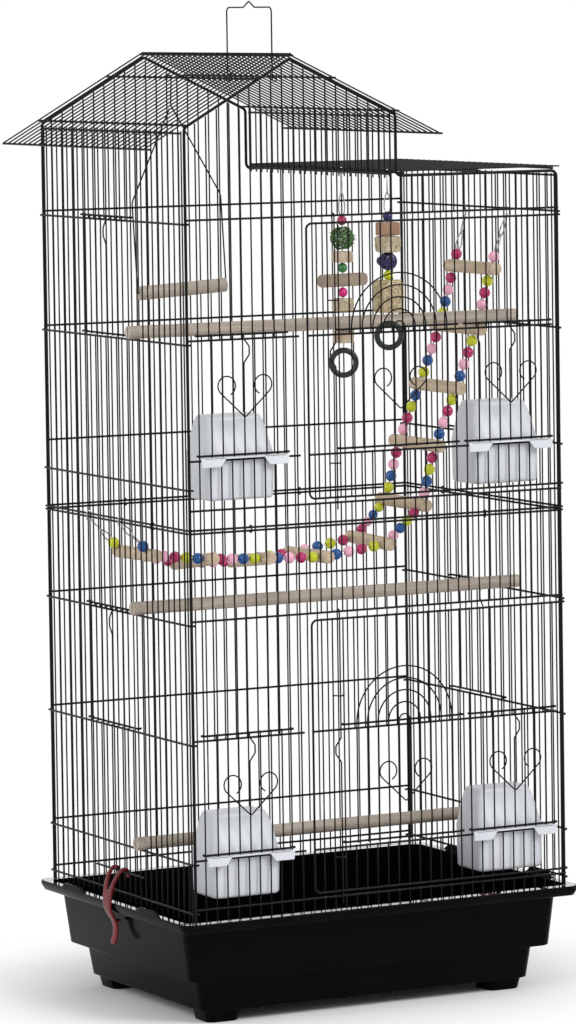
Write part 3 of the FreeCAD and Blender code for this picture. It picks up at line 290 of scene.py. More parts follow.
# Tray latches: red levers moulded in one piece, with two prongs that snap over a bar of each side wall.
# The prongs join in a blade that bows out over the rim, and its tail turns in below it and flares out.
LATCH_WALL = 210.0
LATCH_Y = 0.0
PRONG_LINE = [(-0.7, 132.5), (-0.9, 137.0), (0.2, 140.4), (2.6, 141.5), (5.7, 140.3), (9.3, 136.4), (12.6, 130.6),
              (15.2, 123.4), (16.8, 116.0), (17.4, 110.0)]
PRONG_SPREAD = [10.8, 10.8, 10.8, 10.8, 10.6, 9.8, 8.4, 6.9, 5.9, 5.6]
PRONG_WIDTH = [5.4, 5.8, 5.8, 5.8, 5.9, 6.2, 6.6, 7.0, 7.2, 7.2]
BLADE_LINE = [(15.9, 120.5), (16.9, 115.5), (17.5, 109.0), (17.3, 103.0), (15.6, 97.5), (12.6, 92.5), (10.0, 87.5),
              (8.6, 81.5), (8.8, 75.0), (10.4, 69.0), (11.9, 65.0)]
BLADE_WIDTH = [17.0, 19.0, 18.5, 16.5, 13.5, 11.5, 10.5, 10.0, 10.0, 10.6, 10.0]
NIB_LINE = [(9.5, 89.0), (6.5, 88.6), (3.6, 88.4)]
NIB_WIDTH = [8.0, 8.0, 7.0]
NIB_THICK = 2.2
LATCH_THICK = 3.0
LATCH_VOXEL = 0.55
RIBBON_SIDES = 20
RIBBON_FLAT = 0.45
RIBBON_DEEP = 0.75


def smooth_line(points, steps=4):
    """More points on a smooth line through the given ones."""
    dense = []
    for k in range(len(points) - 1):
        before, here, there, after = (points[min(max(k + j, 0), len(points) - 1)] for j in (-1, 0, 1, 2))
        for j in range(steps):
            t = j / steps
            dense.append(((there - before) * t + (before * 2 - here * 5 + there * 4 - after) * t ** 2
                          + (here * 3 - before - there * 3 + after) * t ** 3) * 0.5 + here)
    return dense + [points[-1]]


def ways_along(points, closed=False):
    count = len(points)
    ways = []
    for k in range(count):
        if closed:
            way = points[(k + 1) % count] - points[k - 1]
        else:
            way = points[min(k + 1, count - 1)] - points[max(k - 1, 0)]
        ways.append(way.normalized())
    return ways


def add_ribbon(shape, line, widths, thick, sign, shift):
    """A band with rounded edges along a side-view line, its width along Y."""
    path = smooth_line([Vector((x, 0, z)) for x, z in line])
    sizes = smooth_line([Vector((width, y, 0)) for width, y in zip(widths, shift)])
    rings = []
    for point, way, size in zip(path, ways_along(path), sizes):
        face = Vector((way.z, 0, -way.x))
        ring = []
        for k in range(RIBBON_SIDES):
            angle = math.tau * k / RIBBON_SIDES
            flat = abs(math.cos(angle)) ** RIBBON_FLAT * math.copysign(size.x / 2, math.cos(angle))
            deep = abs(math.sin(angle)) ** RIBBON_DEEP * math.copysign(thick / 2, math.sin(angle))
            spot = point + face * deep
            ring.append(Vector((sign * (LATCH_WALL + spot.x), LATCH_Y + size.y + flat, spot.z)) * MM)
        rings.append(ring)
    add_skin(shape, rings)


latch_red = moulded("latch_red", [(0.3, "580f13"), (0.7, "6b171b")], (0.14, 0.24), 0.003, 0.2)
for side, sign in (("left", -1), ("right", 1)):
    latch = bmesh.new()
    for way in (-1, 1):
        add_ribbon(latch, PRONG_LINE, PRONG_WIDTH, LATCH_THICK, sign, [way * y for y in PRONG_SPREAD])
    add_ribbon(latch, BLADE_LINE, BLADE_WIDTH, LATCH_THICK, sign, [0.0] * len(BLADE_LINE))
    add_ribbon(latch, NIB_LINE, NIB_WIDTH, NIB_THICK, sign, [0.0] * len(NIB_LINE))
    lever = make_piece("tray_latch_lever_" + side, latch, [latch_red], "tray_latch_" + side,
                       ["tray_latch_" + side], crease=180)
    merge = lever.modifiers.new("one_moulding", "REMESH")
    merge.mode = "VOXEL"
    merge.voxel_size = LATCH_VOXEL * MM
    merge.use_smooth_shade = True
    ease = lever.modifiers.new("soft_edges", "SMOOTH")
    ease.factor = 0.5
    ease.iterations = 5

# Feeding cups: white moulded cups with a hood open towards the cage.
# Each hangs by a flange and two tabs over the rail of its opening in the front wall.
CUP_PLACES = {"left": ("cage", -150.0), "right": ("main_door", 150.0)}
CUP_BRIMS = {"lower": 172.45, "upper": 564.15}
CUP_BOWL = 43.5
CUP_HOOD = 39.0
CUP_BRIM = (37.5, 26.0)
CUP_FLOOR = (36.8, 25.3)
CUP_CROWN = (30.0, 17.0)
CROWN_Y = -130.0
CUP_MIDDLE_Y = -133.0
CUP_CORNER = 6.0
CUP_SOLE_ROUND = 4.0
CUP_CROWN_ROUND = 4.5
CUP_WALL = 2.0
CUP_LEAST_CORNER = 1.5
CUP_ARC = 5
CUP_EDGE = 0.5
MOUTH_HALF = 22.0
MOUTH_LOW = 2.0
MOUTH_HIGH = 33.0
FLANGE_HALF = 45.0
FLANGE_FRONT = -167.4
FLANGE_BACK = -157.5
FLANGE = 1.8
FLANGE_EDGE = 0.6
TAB_SINK = 0.1
CUP_TAB = [(20.0, 0.0), (48.5, 0.0), (47.5, -9.5), (27.0, -9.5)]


def cup_ring(x, half, y, z, corner):
    """A rounded rectangle with points where the sides of the mouth stand."""
    ring = rounded_ring(half, corner, (x, y, z), steps=6)
    back = [Vector((x + side * MOUTH_HALF, y + half[1], z)) * MM for side in (1, -1)]
    return ring[:7] + back + ring[7:]


MOUTH_FACE = 7
cup_white = moulded("cup_white", [(0.3, "bfc2c8"), (0.7, "cbcdd3")], (0.3, 0.42), 0.006, 0.4)
for half in HALVES:
    for side, (carrier, x) in CUP_PLACES.items():
        brim = CUP_BRIMS[half]
        bottom = brim - CUP_BOWL
        crown = brim + CUP_HOOD
        rings = []
        for k in range(CUP_ARC + 1):
            angle = math.pi / 2 * k / CUP_ARC
            inset = CUP_SOLE_ROUND * (1 - math.sin(angle))
            size = (CUP_FLOOR[0] - inset, CUP_FLOOR[1] - inset)
            z = bottom + CUP_SOLE_ROUND * (1 - math.cos(angle))
            rings.append(cup_ring(x, size, CUP_MIDDLE_Y, z, max(CUP_CORNER - inset, CUP_LEAST_CORNER)))
        rings.append(cup_ring(x, CUP_BRIM, CUP_MIDDLE_Y, brim, CUP_CORNER))
        mouth_from = len(rings)
        for rise in (MOUTH_LOW, MOUTH_HIGH):
            share = rise / CUP_HOOD
            size = [a + (b - a) * share for a, b in zip(CUP_BRIM, CUP_CROWN)]
            y = CUP_MIDDLE_Y + (CROWN_Y - CUP_MIDDLE_Y) * share
            rings.append(cup_ring(x, size, y, brim + rise, CUP_CORNER))
        for k in range(CUP_ARC + 1):
            angle = math.pi / 2 * k / CUP_ARC
            inset = CUP_CROWN_ROUND * (1 - math.cos(angle))
            size = (CUP_CROWN[0] - inset, CUP_CROWN[1] - inset)
            z = crown - CUP_CROWN_ROUND * (1 - math.sin(angle))
            rings.append(cup_ring(x, size, CROWN_Y, z, max(CUP_CORNER - inset, CUP_LEAST_CORNER)))
        cup = bmesh.new()
        bands = add_skin(cup, rings)
        bmesh.ops.delete(cup, geom=[bands[mouth_from][MOUTH_FACE]], context="FACES_ONLY")
        body = "cage" if carrier == "cage" else half + "_main_door"
        name = "%s_%s_cup" % (half, side)
        shell = make_piece(name + "_shell", cup, [cup_white], body, [name])
        wall = shell.modifiers.new("wall", "SOLIDIFY")
        wall.thickness = CUP_WALL * MM
        wall.offset = -1.0
        round_edges(shell, CUP_EDGE, 2)
        hanger = bmesh.new()
        plate = [(-FLANGE_HALF, FLANGE_FRONT), (FLANGE_HALF, FLANGE_FRONT), (FLANGE_HALF, FLANGE_BACK),
                 (-FLANGE_HALF, FLANGE_BACK)]
        add_skin(hanger, [[Vector((x + u, y, z)) * MM for u, y in plate] for z in (brim - FLANGE, brim)])
        for way in (-1, 1):
            outline = CUP_TAB if way > 0 else list(reversed(CUP_TAB))
            add_skin(hanger, [[Vector((x + way * u, y, brim - TAB_SINK + z)) * MM for u, z in outline]
                              for y in (FLANGE_FRONT, FLANGE_FRONT + FLANGE)])
        lip = make_piece(name + "_flange", hanger, [cup_white], body)
        round_edges(lip, FLANGE_EDGE)


# Perches: three dowels of pale unfinished wood across the cage, turned smooth.
# A slot sawn in each end slips over a wire of the side walls.
def wood(name, along, stops, ring=2.4, depth=0.12):
    """Unfinished wood with growth rings cut lengthwise and pores drawn out along the grain."""
    made, tree, shader, place = new_finish(name)
    squeeze = [1.0, 1.0, 1.0]
    squeeze[along] = 0.06
    layers = cloud(tree, place, ring * 2.5, detail=3.0, stretch=squeeze)
    squeeze[along] = 0.03
    pores = cloud(tree, place, 0.9, detail=3.0, stretch=squeeze)
    mixed = tree.nodes.new("ShaderNodeMix")
    mixed.inputs["Factor"].default_value = 0.45
    tree.links.new(layers, mixed.inputs["A"])
    tree.links.new(pores, mixed.inputs["B"])
    tree.links.new(colours(tree, mixed.outputs["Result"], stops), shader.inputs["Base Color"])
    tree.links.new(spread_between(tree, pores, 0.55, 0.75), shader.inputs["Roughness"])
    shader.inputs["Specular IOR Level"].default_value = 0.3
    raise_bumps(tree, shader, pores, depth)
    return made


perch_wood = wood("perch_wood", 0, [(0.32, "8c8174"), (0.5, "a4988c"), (0.68, "b6aba0")])
dress(perch_wood, ["top_perch", "middle_perch", "bottom_perch"])

# Swing: a thin wire bent into a bow and hooked over a roof rail.
# Its ends go through a short dowel of the same wood as the perches.
dress(wire_black, ["swing_hanger"])
dress(perch_wood, ["swing_dowel"])

# Bead bridge: ten dowel rungs on two wire strands that run from the right wall down and to the left wall.
# Round wooden beads, dipped in glossy paint, keep the rungs apart in groups of four colours.
RUNG_PLACES = [(198.5, -7.0, 730.2, 0.0, 0.0), (187.0, 4.0, 668.2, 0.0, 0.0), (163.5, 6.0, 608.2, 0.0, 0.0),
               (138.0, 6.0, 550.2, 0.0, 0.0), (121.0, 6.0, 490.2, 0.0, 0.0), (78.2, -0.5, 453.7, 4.0, 0.0),
               (8.0, 3.1, 443.0, 3.0, 2.0), (-56.75, 6.45, 441.6, 3.0, 7.0), (-119.2, 9.9, 443.7, 3.0, 8.0),
               (-181.3, 13.9, 455.0, 3.0, 2.0)]
RUNG = 13.0
RUNG_LENGTH = 100.0
RUNG_ROUND = 0.6
STRAND_SPAN = 76.0
STRAND_WIRE = 0.7
BEAD = 11.6
BEAD_BORE = 1.3
BEAD_STEP = 12.0
BEAD_GAP = 0.2
BEAD_CODES = {"c": "crimson", "p": "pink", "b": "blue", "y": "yellow"}
STRAND_BEADS = {-1: ("p", ["ycpb", "ycpb", "ycpb", "cybp", "cybp", "ycpb", "ycpb", "ybpc", "bycp"], "b"),
                1: ("c", ["cpby", "cpby", "bycp", "cpby", "ybpc", "cybp", "cybp", "cpby", "cpby"], "y")}
STRAND_RAILS = {-1: (Vector((211.9, -60.0, 792.2)), Vector((-211.9, -12.0, 493.7))),
                1: (Vector((211.9, 24.0, 792.2)), Vector((-211.9, 60.0, 493.7)))}
RAIL_HOOK = 2.25
UPRIGHT = Vector((0, 0, 1))
REARWARD = Vector((0, 1, 0))
HOOK_LEG = 6.75
LINK_SHARE = 0.58
LINK_OVERLAP = 1.6
LINK_WIDTH = 7.0
LINK_TURN = 0.6
LINK_TWIST = 1.4
LINK_ROUND = 0.72
LINK_PEAR = 0.28


def add_turned(shape, profile, foot, up, sides=24, bored=False):
    """A turned form from pairs of radius and height along an axis, open or bored through."""
    up = up.normalized()
    across = up.orthogonal().normalized()
    other = up.cross(across)
    rings = []
    for radius, height in profile:
        ring = []
        for k in range(sides):
            angle = math.tau * k / sides
            out = across * math.cos(angle) + other * math.sin(angle)
            ring.append((foot + up * height + out * radius) * MM)
        rings.append(ring)
    return add_skin(shape, rings, cap=not bored, loop=bored)


def add_bead(shape, centre, way, size, bore=BEAD_BORE, steps=12):
    first = math.asin(2 * bore / size)
    profile = []
    for k in range(steps + 1):
        angle = first + (math.pi - 2 * first) * k / steps
        profile.append((size / 2 * math.sin(angle), -size / 2 * math.cos(angle)))
    add_turned(shape, profile, centre, way, bored=True)


def add_dowel(shape, centre, way, size, length, soften, steps=4):
    """A dowel whose sawn ends are sanded round."""
    profile = []
    for end in (-1, 1):
        arc = []
        for k in range(steps + 1):
            angle = math.pi / 2 * k / steps
            reach = length / 2 - soften * (1 - math.cos(angle))
            arc.append((size / 2 - soften * (1 - math.sin(angle)), end * reach))
        profile += arc if end < 0 else list(reversed(arc))
    add_turned(shape, profile, centre, way, sides=32)


def painted(name, stops, roughness=(0.1, 0.2), wear=0.03):
    """Glossy paint, a little uneven over the wood below it."""
    made, tree, shader, place = new_finish(name)
    coat = cloud(tree, place, 5.0, detail=2.0)
    tree.links.new(colours(tree, coat, stops), shader.inputs["Base Color"])
    tree.links.new(spread_between(tree, coat, *roughness), shader.inputs["Roughness"])
    raise_bumps(tree, shader, cloud(tree, place, 2.0), wear)
    return made


def add_tube(shape, points, outs, radius, sides=6, closed=False):
    """Round strand along points; outs are the directions that face away from what it lies on."""
    rings = []
    for point, way, out in zip(points, ways_along(points, closed), outs):
        side = way.cross(out).normalized()
        up = side.cross(way)
        ring = []
        for k in range(sides):
            angle = math.tau * k / sides
            ring.append((point + (up * math.cos(angle) + side * math.sin(angle)) * radius) * MM)
        rings.append(ring)
    add_skin(shape, rings, cap=not closed, loop=closed)


def add_link(shape, top, bottom, width, turn, radius, steps=40):
    """A pear-shaped loop of wire, wider below."""
    axis = (top - bottom).normalized()
    across = axis.orthogonal().normalized()
    flat = across * math.cos(turn) + axis.cross(across) * math.sin(turn)
    points = []
    for k in range(steps):
        angle = math.tau * k / steps
        aside = width / 2 * math.sin(angle) * (LINK_ROUND - LINK_PEAR * math.cos(angle))
        points.append((top + bottom) / 2 + (top - bottom) / 2 * math.cos(angle) + flat * aside)
    add_tube(shape, points, [flat.cross(axis)] * len(points), radius, sides=8, closed=True)


def add_rail_hook(shape, rail, side, radius, leg, wire):
    """A wire hook over a rail that runs front to back."""
    line = [(1, -leg / radius), (1, -0.5)]
    line += [(math.cos(angle), math.sin(angle)) for angle in (0.0, 0.6, 1.2, 1.57, 1.94, 2.54, 3.14)]
    line += [(-1, -0.5), (-1, -leg / radius)]
    points = [rail + Vector((side * u, 0, z)) * radius for u, z in line]
    add_tube(shape, points, [REARWARD] * len(points), wire, sides=8)
    return points[-1]


rung_wood = wood("rung_wood", 1, [(0.3, "a08b74"), (0.5, "c1ad95"), (0.7, "d9c9b2")])
bright_wire, tree, shader, place = new_finish("bright_wire")
wire_tints = [(0.3, "8f8f8e"), (0.7, "bdbdbb")]
tree.links.new(colours(tree, cloud(tree, place, 6.0), wire_tints), shader.inputs["Base Color"])
shader.inputs["Metallic"].default_value = 1.0
tree.links.new(spread_between(tree, cloud(tree, place, 3.0), 0.18, 0.34), shader.inputs["Roughness"])
rungs = bmesh.new()
rung_ways = []
for x, y, z, turn, dip in RUNG_PLACES:
    lie = Matrix.Rotation(math.radians(-turn), 3, "Z") @ Matrix.Rotation(math.radians(-dip), 3, "X")
    way = lie @ REARWARD
    rung_ways.append(way)
    add_dowel(rungs, Vector((x, y, z)), way, RUNG, RUNG_LENGTH, RUNG_ROUND)
make_piece("bridge_rung_dowels", rungs, [rung_wood], "cage", ["bridge_rungs"])
strung = {code: bmesh.new() for code in BEAD_CODES}
strands = bmesh.new()
for side, (first, groups, last) in STRAND_BEADS.items():
    knots = [Vector(place[:3]) + way * side * STRAND_SPAN / 2 for place, way in zip(RUNG_PLACES, rung_ways)]
    for i, group in enumerate(groups):
        run = knots[i + 1] - knots[i]
        way = run.normalized()
        lean = [way.cross(rung_way).length for rung_way in rung_ways[i:i + 2]]
        free = run.length - RUNG / 2 / lean[0] - RUNG / 2 / lean[1]
        size = min(BEAD, free / len(group) * min(lean) - BEAD_GAP)
        for k, code in enumerate(group):
            centre = knots[i] + way * (RUNG / 2 / lean[0] + free * (k + 0.5) / len(group))
            add_bead(strung[code], centre, way, size)
    tips = []
    last_rungs = (rung_ways[0], rung_ways[-1])
    for code, knot, rail, rung_way in zip((first, last), (knots[0], knots[-1]), STRAND_RAILS[side], last_rungs):
        out = math.copysign(1, rail.x)
        beyond = add_rail_hook(strands, rail, out, RAIL_HOOK, HOOK_LEG, STRAND_WIRE)
        way = (beyond - knot).normalized()
        centre = knot + way * ((RUNG + BEAD_STEP) / 2 / way.cross(rung_way).length)
        add_bead(strung[code], centre, way, BEAD)
        tip = centre + way * BEAD / 2
        tips.append(tip)
        split = beyond + (tip - beyond) * LINK_SHARE
        turn = LINK_TURN * side
        add_link(strands, beyond + way * LINK_OVERLAP, split, LINK_WIDTH, turn, STRAND_WIRE)
        add_link(strands, split + way * LINK_OVERLAP, tip - way * LINK_OVERLAP, LINK_WIDTH, turn + LINK_TWIST,
                 STRAND_WIRE)
    line = [tips[0]] + knots + [tips[1]]
    add_tube(strands, line, [UPRIGHT.cross(way) for way in ways_along(line)], STRAND_WIRE, sides=8)
make_piece("bridge_strand_wires", strands, [bright_wire], "cage", ["bridge_wires"])
BEAD_PAINTS = {"c": [(0.3, "a81c56"), (0.7, "ba2a66")], "p": [(0.3, "efa9c4"), (0.7, "f5b9d0")],
               "b": [(0.3, "0d4688"), (0.7, "17579c")], "y": [(0.3, "bcc41a"), (0.7, "cdd32a")]}
bead_paints = {code: painted("bead_" + BEAD_CODES[code], stops) for code, stops in BEAD_PAINTS.items()}
for code, beads in strung.items():
    colour = BEAD_CODES[code]
    make_piece("bridge_%s_beads" % colour, beads, [bead_paints[code]], "cage",
               ["bridge_beads_" + colour])

# Ball toy: pieces threaded on a wire below two links, hooked over a rail of the flat top.
# A wicker ball dyed green, wooden pieces, painted beads, a loofah slice and a moulded ring.
TOY_RAIL = 835.85
TOY_X = 31.0
TOY_HOOK = 2.25
TOY_HOOK_LEG = 4.5
TOY_WIRE = 0.7
TOY_WIRE_END = 1.0
TOY_BEAD = 10.0
RING_TURN = 0.35
RING_TUBE = 5.8
FIBRE = 0.42
LOOFAH_CREASE = 60
BALL_TOY_Y = -36.0
BALL_TOY_LENGTH = 180.0
BALL_TOY_LINKS = [(1.0, 24.0, 7.0, 0.5), (22.5, 46.0, 8.5, 2.2)]
BALL_TOY_BEADS = (51.0, 99.0, 124.0)
WICKER_BEND = 0.12
TWIG_ROOT = 2.0
WICKER_DROP, WICKER_SIZE = 69.0, 25.0
WICKER_STRANDS, WICKER_STRAND, WICKER_TWIGS = 19, 0.65, 60
COLLAR_DROP = 158.0
COLLAR = [(1.2, -3.0), (3.9, -3.0), (4.5, -2.2), (4.5, 2.2), (3.9, 3.0), (1.2, 3.0)]
BLOCK_DROP, BLOCK = 88.0, (17.0, 17.0, 11.0)
DISC_DROP = 169.0
DISC = [(1.2, -6.0), (10.0, -6.0), (10.7, -5.7), (11.0, -5.0), (11.0, 5.0), (10.7, 5.7), (10.0, 6.0), (1.2, 6.0)]
STICK_DROP, STICK, STICK_CORNER, STICK_TURN = 111.5, (62.0, 7.0, 13.0), 5.0, 0.2
STICK_FINISH = 1
STICK_EDGE = [(-0.5, 0.9), (-0.42, 0.25), (-0.32, 0.0), (0.32, 0.0), (0.42, 0.25), (0.5, 0.9)]
LOOFAH_CORE = [(0.3, -0.46), (0.41, -0.49), (0.45, -0.42), *((0.465, k / 10 - 0.4) for k in range(9)),
               (0.45, 0.42), (0.41, 0.49), (0.3, 0.46)]
LOOFAH_SIDES = 48
FIBRE_STEPS = 11
FIBRE_LEAST = 0.05
SLICE_DROP, SLICE_SIZE, SLICE_HEIGHT, SLICE_FIBRES = 137.0, 22.0, 13.0, 110
BALL_TOY_RING_DROP, BALL_TOY_RING = 195.5, 31.0


def add_hanger(shape, y, drop, links):
    """Hook over the rail, the links below it and the wire down through the toy."""
    rail = Vector((TOY_X, y, TOY_RAIL))
    add_rail_hook(shape, rail, 1, TOY_HOOK, TOY_HOOK_LEG, TOY_WIRE)
    for top, bottom, width, turn in links:
        add_link(shape, rail - UPRIGHT * top, rail - UPRIGHT * bottom, width, turn, TOY_WIRE)
    straight = [rail - UPRIGHT * links[-1][1], rail - UPRIGHT * (drop + TOY_WIRE_END)]
    add_tube(shape, straight, [REARWARD] * 2, TOY_WIRE, sides=8)


def add_wicker(shape, centre, size, strands, radius, draw, twigs=0, steps=44):
    """A ball wound from bent strands, with a few ends standing out."""
    for _ in range(strands):
        axis = Vector((draw.gauss(0, 1), draw.gauss(0, 1), draw.gauss(0, 1))).normalized()
        across = axis.orthogonal().normalized()
        other = axis.cross(across)
        lift = size / 2 - radius - draw.uniform(0.0, size * 0.05)
        phase = draw.uniform(0, math.tau)
        points = []
        for j in range(steps):
            angle = math.tau * j / steps
            bend = axis * WICKER_BEND * math.sin(3 * angle + phase)
            out = across * math.cos(angle) + other * math.sin(angle) + bend
            points.append(out.normalized() * lift)
        add_tube(shape, [centre + p for p in points], [p.normalized() for p in points], radius, closed=True)
    for _ in range(twigs):
        out = Vector((draw.gauss(0, 1), draw.gauss(0, 1), draw.gauss(0, 1))).normalized()
        lean = out.orthogonal().normalized() * draw.uniform(-0.8, 0.8)
        reach = draw.uniform(0.06, 0.16) * size
        points = [centre + out * (size / 2 - TWIG_ROOT) + (out + lean) * reach * share for share in (0.0, 0.5, 1.0)]
        add_tube(shape, points, [lean.cross(out) + out.orthogonal() * 0.01] * 3, radius * 0.75)


def add_block(shape, centre, size, corner=1.2, steps=3):
    """A sawn block with sanded edges."""
    rings = []
    for end in (-1, 1):
        arc = []
        for k in range(steps + 1):
            angle = math.pi / 2 * k / steps
            inset = corner * (1 - math.sin(angle))
            half = (size[0] / 2 - inset, size[1] / 2 - inset)
            z = centre[2] + end * (size[2] / 2 - corner * (1 - math.cos(angle)))
            arc.append(rounded_ring(half, max(corner - inset * 0.6, 0.3), (centre[0], centre[1], z), steps=4))
        rings += arc if end < 0 else list(reversed(arc))
    add_skin(shape, rings)


def add_stick(shape, centre, size, corner, turn):
    """A flat stick with round corners, lying near X."""
    lie = Matrix.Rotation(turn, 3, "Z")
    rings = []
    for y, inset in STICK_EDGE:
        flat = rounded_ring((size[0] / 2 - inset, size[2] / 2 - inset), corner - inset, (0, 0, 0), steps=6)
        rings.append([lie @ Vector((p.x, size[1] * MM * y, p.y)) + Vector(centre) * MM for p in flat])
    add_skin(shape, rings)


def add_loofah(shape, centre, size, height, fibres, thick, draw, lumps=0.045):
    """A slice of dried gourd: a lumpy core under a net of fibres."""
    rings = []
    for radius, z in [(size * wide, height * level) for wide, level in LOOFAH_CORE]:
        ring = []
        for k in range(LOOFAH_SIDES):
            angle = math.tau * k / LOOFAH_SIDES
            out = Vector((math.cos(angle), math.sin(angle), 0))
            lump = noise.noise(centre + out * radius * 0.35 + Vector((0, 0, z * 0.2))) * lumps * size
            ring.append((centre + out * (radius + lump) + Vector((0, 0, z))) * MM)
        rings.append(ring)
    add_skin(shape, rings)
    for _ in range(fibres):
        angle = draw.uniform(0, math.tau)
        drift = draw.gauss(0, 0.9)
        low = draw.uniform(-0.5, 0.1)
        reach = draw.uniform(0.35, 0.95)
        phase = draw.uniform(0, math.tau)
        lift = draw.uniform(0.455, 0.5)
        points = []
        outs = []
        for j in range(FIBRE_STEPS + 1):
            share = j / FIBRE_STEPS
            z = min(low + reach * share, 0.5) * height
            swing = angle + drift * share + 0.12 * math.sin(5 * share + phase)
            out = Vector((math.cos(swing), math.sin(swing), 0))
            edge = 1 - 0.12 * max(0.0, abs(z) / height - 0.4) * 10
            points.append(centre + out * size * lift * edge + Vector((0, 0, z)))
            outs.append(out)
        steps = [b - a for a, b in zip(points, points[1:])]
        if min(step.length for step in steps) > FIBRE_LEAST:
            add_tube(shape, points, outs, thick * draw.uniform(0.7, 1.2))


def add_ring(shape, centre, size, tube, steps=48):
    """A moulded ring, hanging upright."""
    flat = Vector((math.cos(RING_TURN), -math.sin(RING_TURN), 0))
    points = []
    outs = []
    for k in range(steps):
        angle = math.tau * k / steps
        out = flat * math.cos(angle) + UPRIGHT * math.sin(angle)
        points.append(centre + out * (size - tube) / 2)
        outs.append(out)
    add_tube(shape, points, outs, tube / 2, sides=16, closed=True)


def dried(name, stops, depth):
    """Dried plant fibre: a fine net whose holes are darkened with painted shade, dull and rough."""
    made, tree, shader, place = new_finish(name)
    net = tree.nodes.new("ShaderNodeTexVoronoi")
    net.feature = "DISTANCE_TO_EDGE"
    net.inputs["Scale"].default_value = 1 / (2.6 * MM)
    tree.links.new(place, net.inputs["Vector"])
    fleck = cloud(tree, place, 3.0, detail=6.0)
    # Lower values in the middle of each net cell give painted shade in the holes between the fibres, beside random
    # flecks.
    mixed = tree.nodes.new("ShaderNodeMath")
    mixed.operation = "MULTIPLY_ADD"
    mixed.inputs[1].default_value = -0.6
    tree.links.new(net.outputs["Distance"], mixed.inputs[0])
    tree.links.new(fleck, mixed.inputs[2])
    tree.links.new(colours(tree, mixed.outputs["Value"], stops), shader.inputs["Base Color"])
    tree.links.new(spread_between(tree, fleck, 0.75, 0.92), shader.inputs["Roughness"])
    shader.inputs["Specular IOR Level"].default_value = 0.15
    raise_bumps(tree, shader, mixed.outputs["Value"], depth)
    return made


def toy_spot(y, drop):
    return Vector((TOY_X, y, TOY_RAIL - drop))


def finish_from(shape, start, finish):
    """The faces made since a count get the finish of that number."""
    for face in list(shape.faces)[start:]:
        face.material_index = finish


def toy_bead_row(y, drops):
    """Beads down a toy's wire, each in the next finish."""
    shape = bmesh.new()
    for finish, drop in enumerate(drops):
        start = len(shape.faces)
        add_bead(shape, toy_spot(y, drop), UPRIGHT, TOY_BEAD)
        finish_from(shape, start, finish)
    return shape


toy_wood = wood("toy_wood", 2, [(0.3, "a28b73"), (0.5, "bda993"), (0.7, "cfbea9")])
stick_wood = wood("stick_wood", 0, [(0.3, "7b6c5e"), (0.5, "948473"), (0.7, "ab9b88")])
green_wicker = painted("green_wicker", [(0.3, "24421c"), (0.7, "4d7738")], (0.5, 0.7), 0.08)
toy_crimson = painted("toy_crimson", [(0.3, "8e1545"), (0.7, "a5204f")])
toy_green = painted("toy_green", [(0.3, "2c6a3a"), (0.7, "3c8049")])
toy_magenta = painted("toy_magenta", [(0.3, "c2106c"), (0.7, "d6247f")])
# The darkest stop carries the painted shade in the holes of the loofah net.
pale_loofah = dried("pale_loofah", [(0.15, "91866f"), (0.35, "c0b398"), (0.6, "d4c9b0")], 0.5)
ring_green = moulded("ring_green", [(0.3, "151a16"), (0.7, "1f2b24")], (0.18, 0.32), 0.01, 0.4)
hanger = bmesh.new()
add_hanger(hanger, BALL_TOY_Y, BALL_TOY_LENGTH, BALL_TOY_LINKS)
make_piece("ball_toy_links", hanger, [bright_wire], "ball_toy", ["ball_toy_hanger"])
wicker = bmesh.new()
add_wicker(wicker, toy_spot(BALL_TOY_Y, WICKER_DROP), WICKER_SIZE, WICKER_STRANDS, WICKER_STRAND, random.Random(7),
           twigs=WICKER_TWIGS)
make_piece("ball_toy_wicker", wicker, [green_wicker], "ball_toy", ["ball_toy_ball"])
toy_beads = toy_bead_row(BALL_TOY_Y, BALL_TOY_BEADS)
collar_from = len(toy_beads.faces)
add_turned(toy_beads, COLLAR, toy_spot(BALL_TOY_Y, COLLAR_DROP), UPRIGHT, bored=True)
finish_from(toy_beads, collar_from, len(BALL_TOY_BEADS))
make_piece("ball_toy_painted_beads", toy_beads, [toy_crimson, toy_green, toy_magenta, ring_green], "ball_toy",
           ["ball_toy_beads"])
wooden = bmesh.new()
add_block(wooden, toy_spot(BALL_TOY_Y, BLOCK_DROP), BLOCK)
add_turned(wooden, DISC, toy_spot(BALL_TOY_Y, DISC_DROP), UPRIGHT, sides=36, bored=True)
stick_from = len(wooden.faces)
add_stick(wooden, toy_spot(BALL_TOY_Y, STICK_DROP), STICK, STICK_CORNER, STICK_TURN)
finish_from(wooden, stick_from, STICK_FINISH)
make_piece("ball_toy_wooden_pieces", wooden, [toy_wood, stick_wood], "ball_toy", ["ball_toy_wood"])
slice_of_loofah = bmesh.new()
add_loofah(slice_of_loofah, toy_spot(BALL_TOY_Y, SLICE_DROP), SLICE_SIZE, SLICE_HEIGHT, SLICE_FIBRES, FIBRE,
           random.Random(11))
make_piece("ball_toy_loofah_slice", slice_of_loofah, [pale_loofah], "ball_toy", ["ball_toy_loofah"],
           LOOFAH_CREASE)
ring = bmesh.new()
add_ring(ring, toy_spot(BALL_TOY_Y, BALL_TOY_RING_DROP), BALL_TOY_RING, RING_TUBE)
make_piece("ball_toy_moulded_ring", ring, [ring_green], "ball_toy", ["ball_toy_ring"])

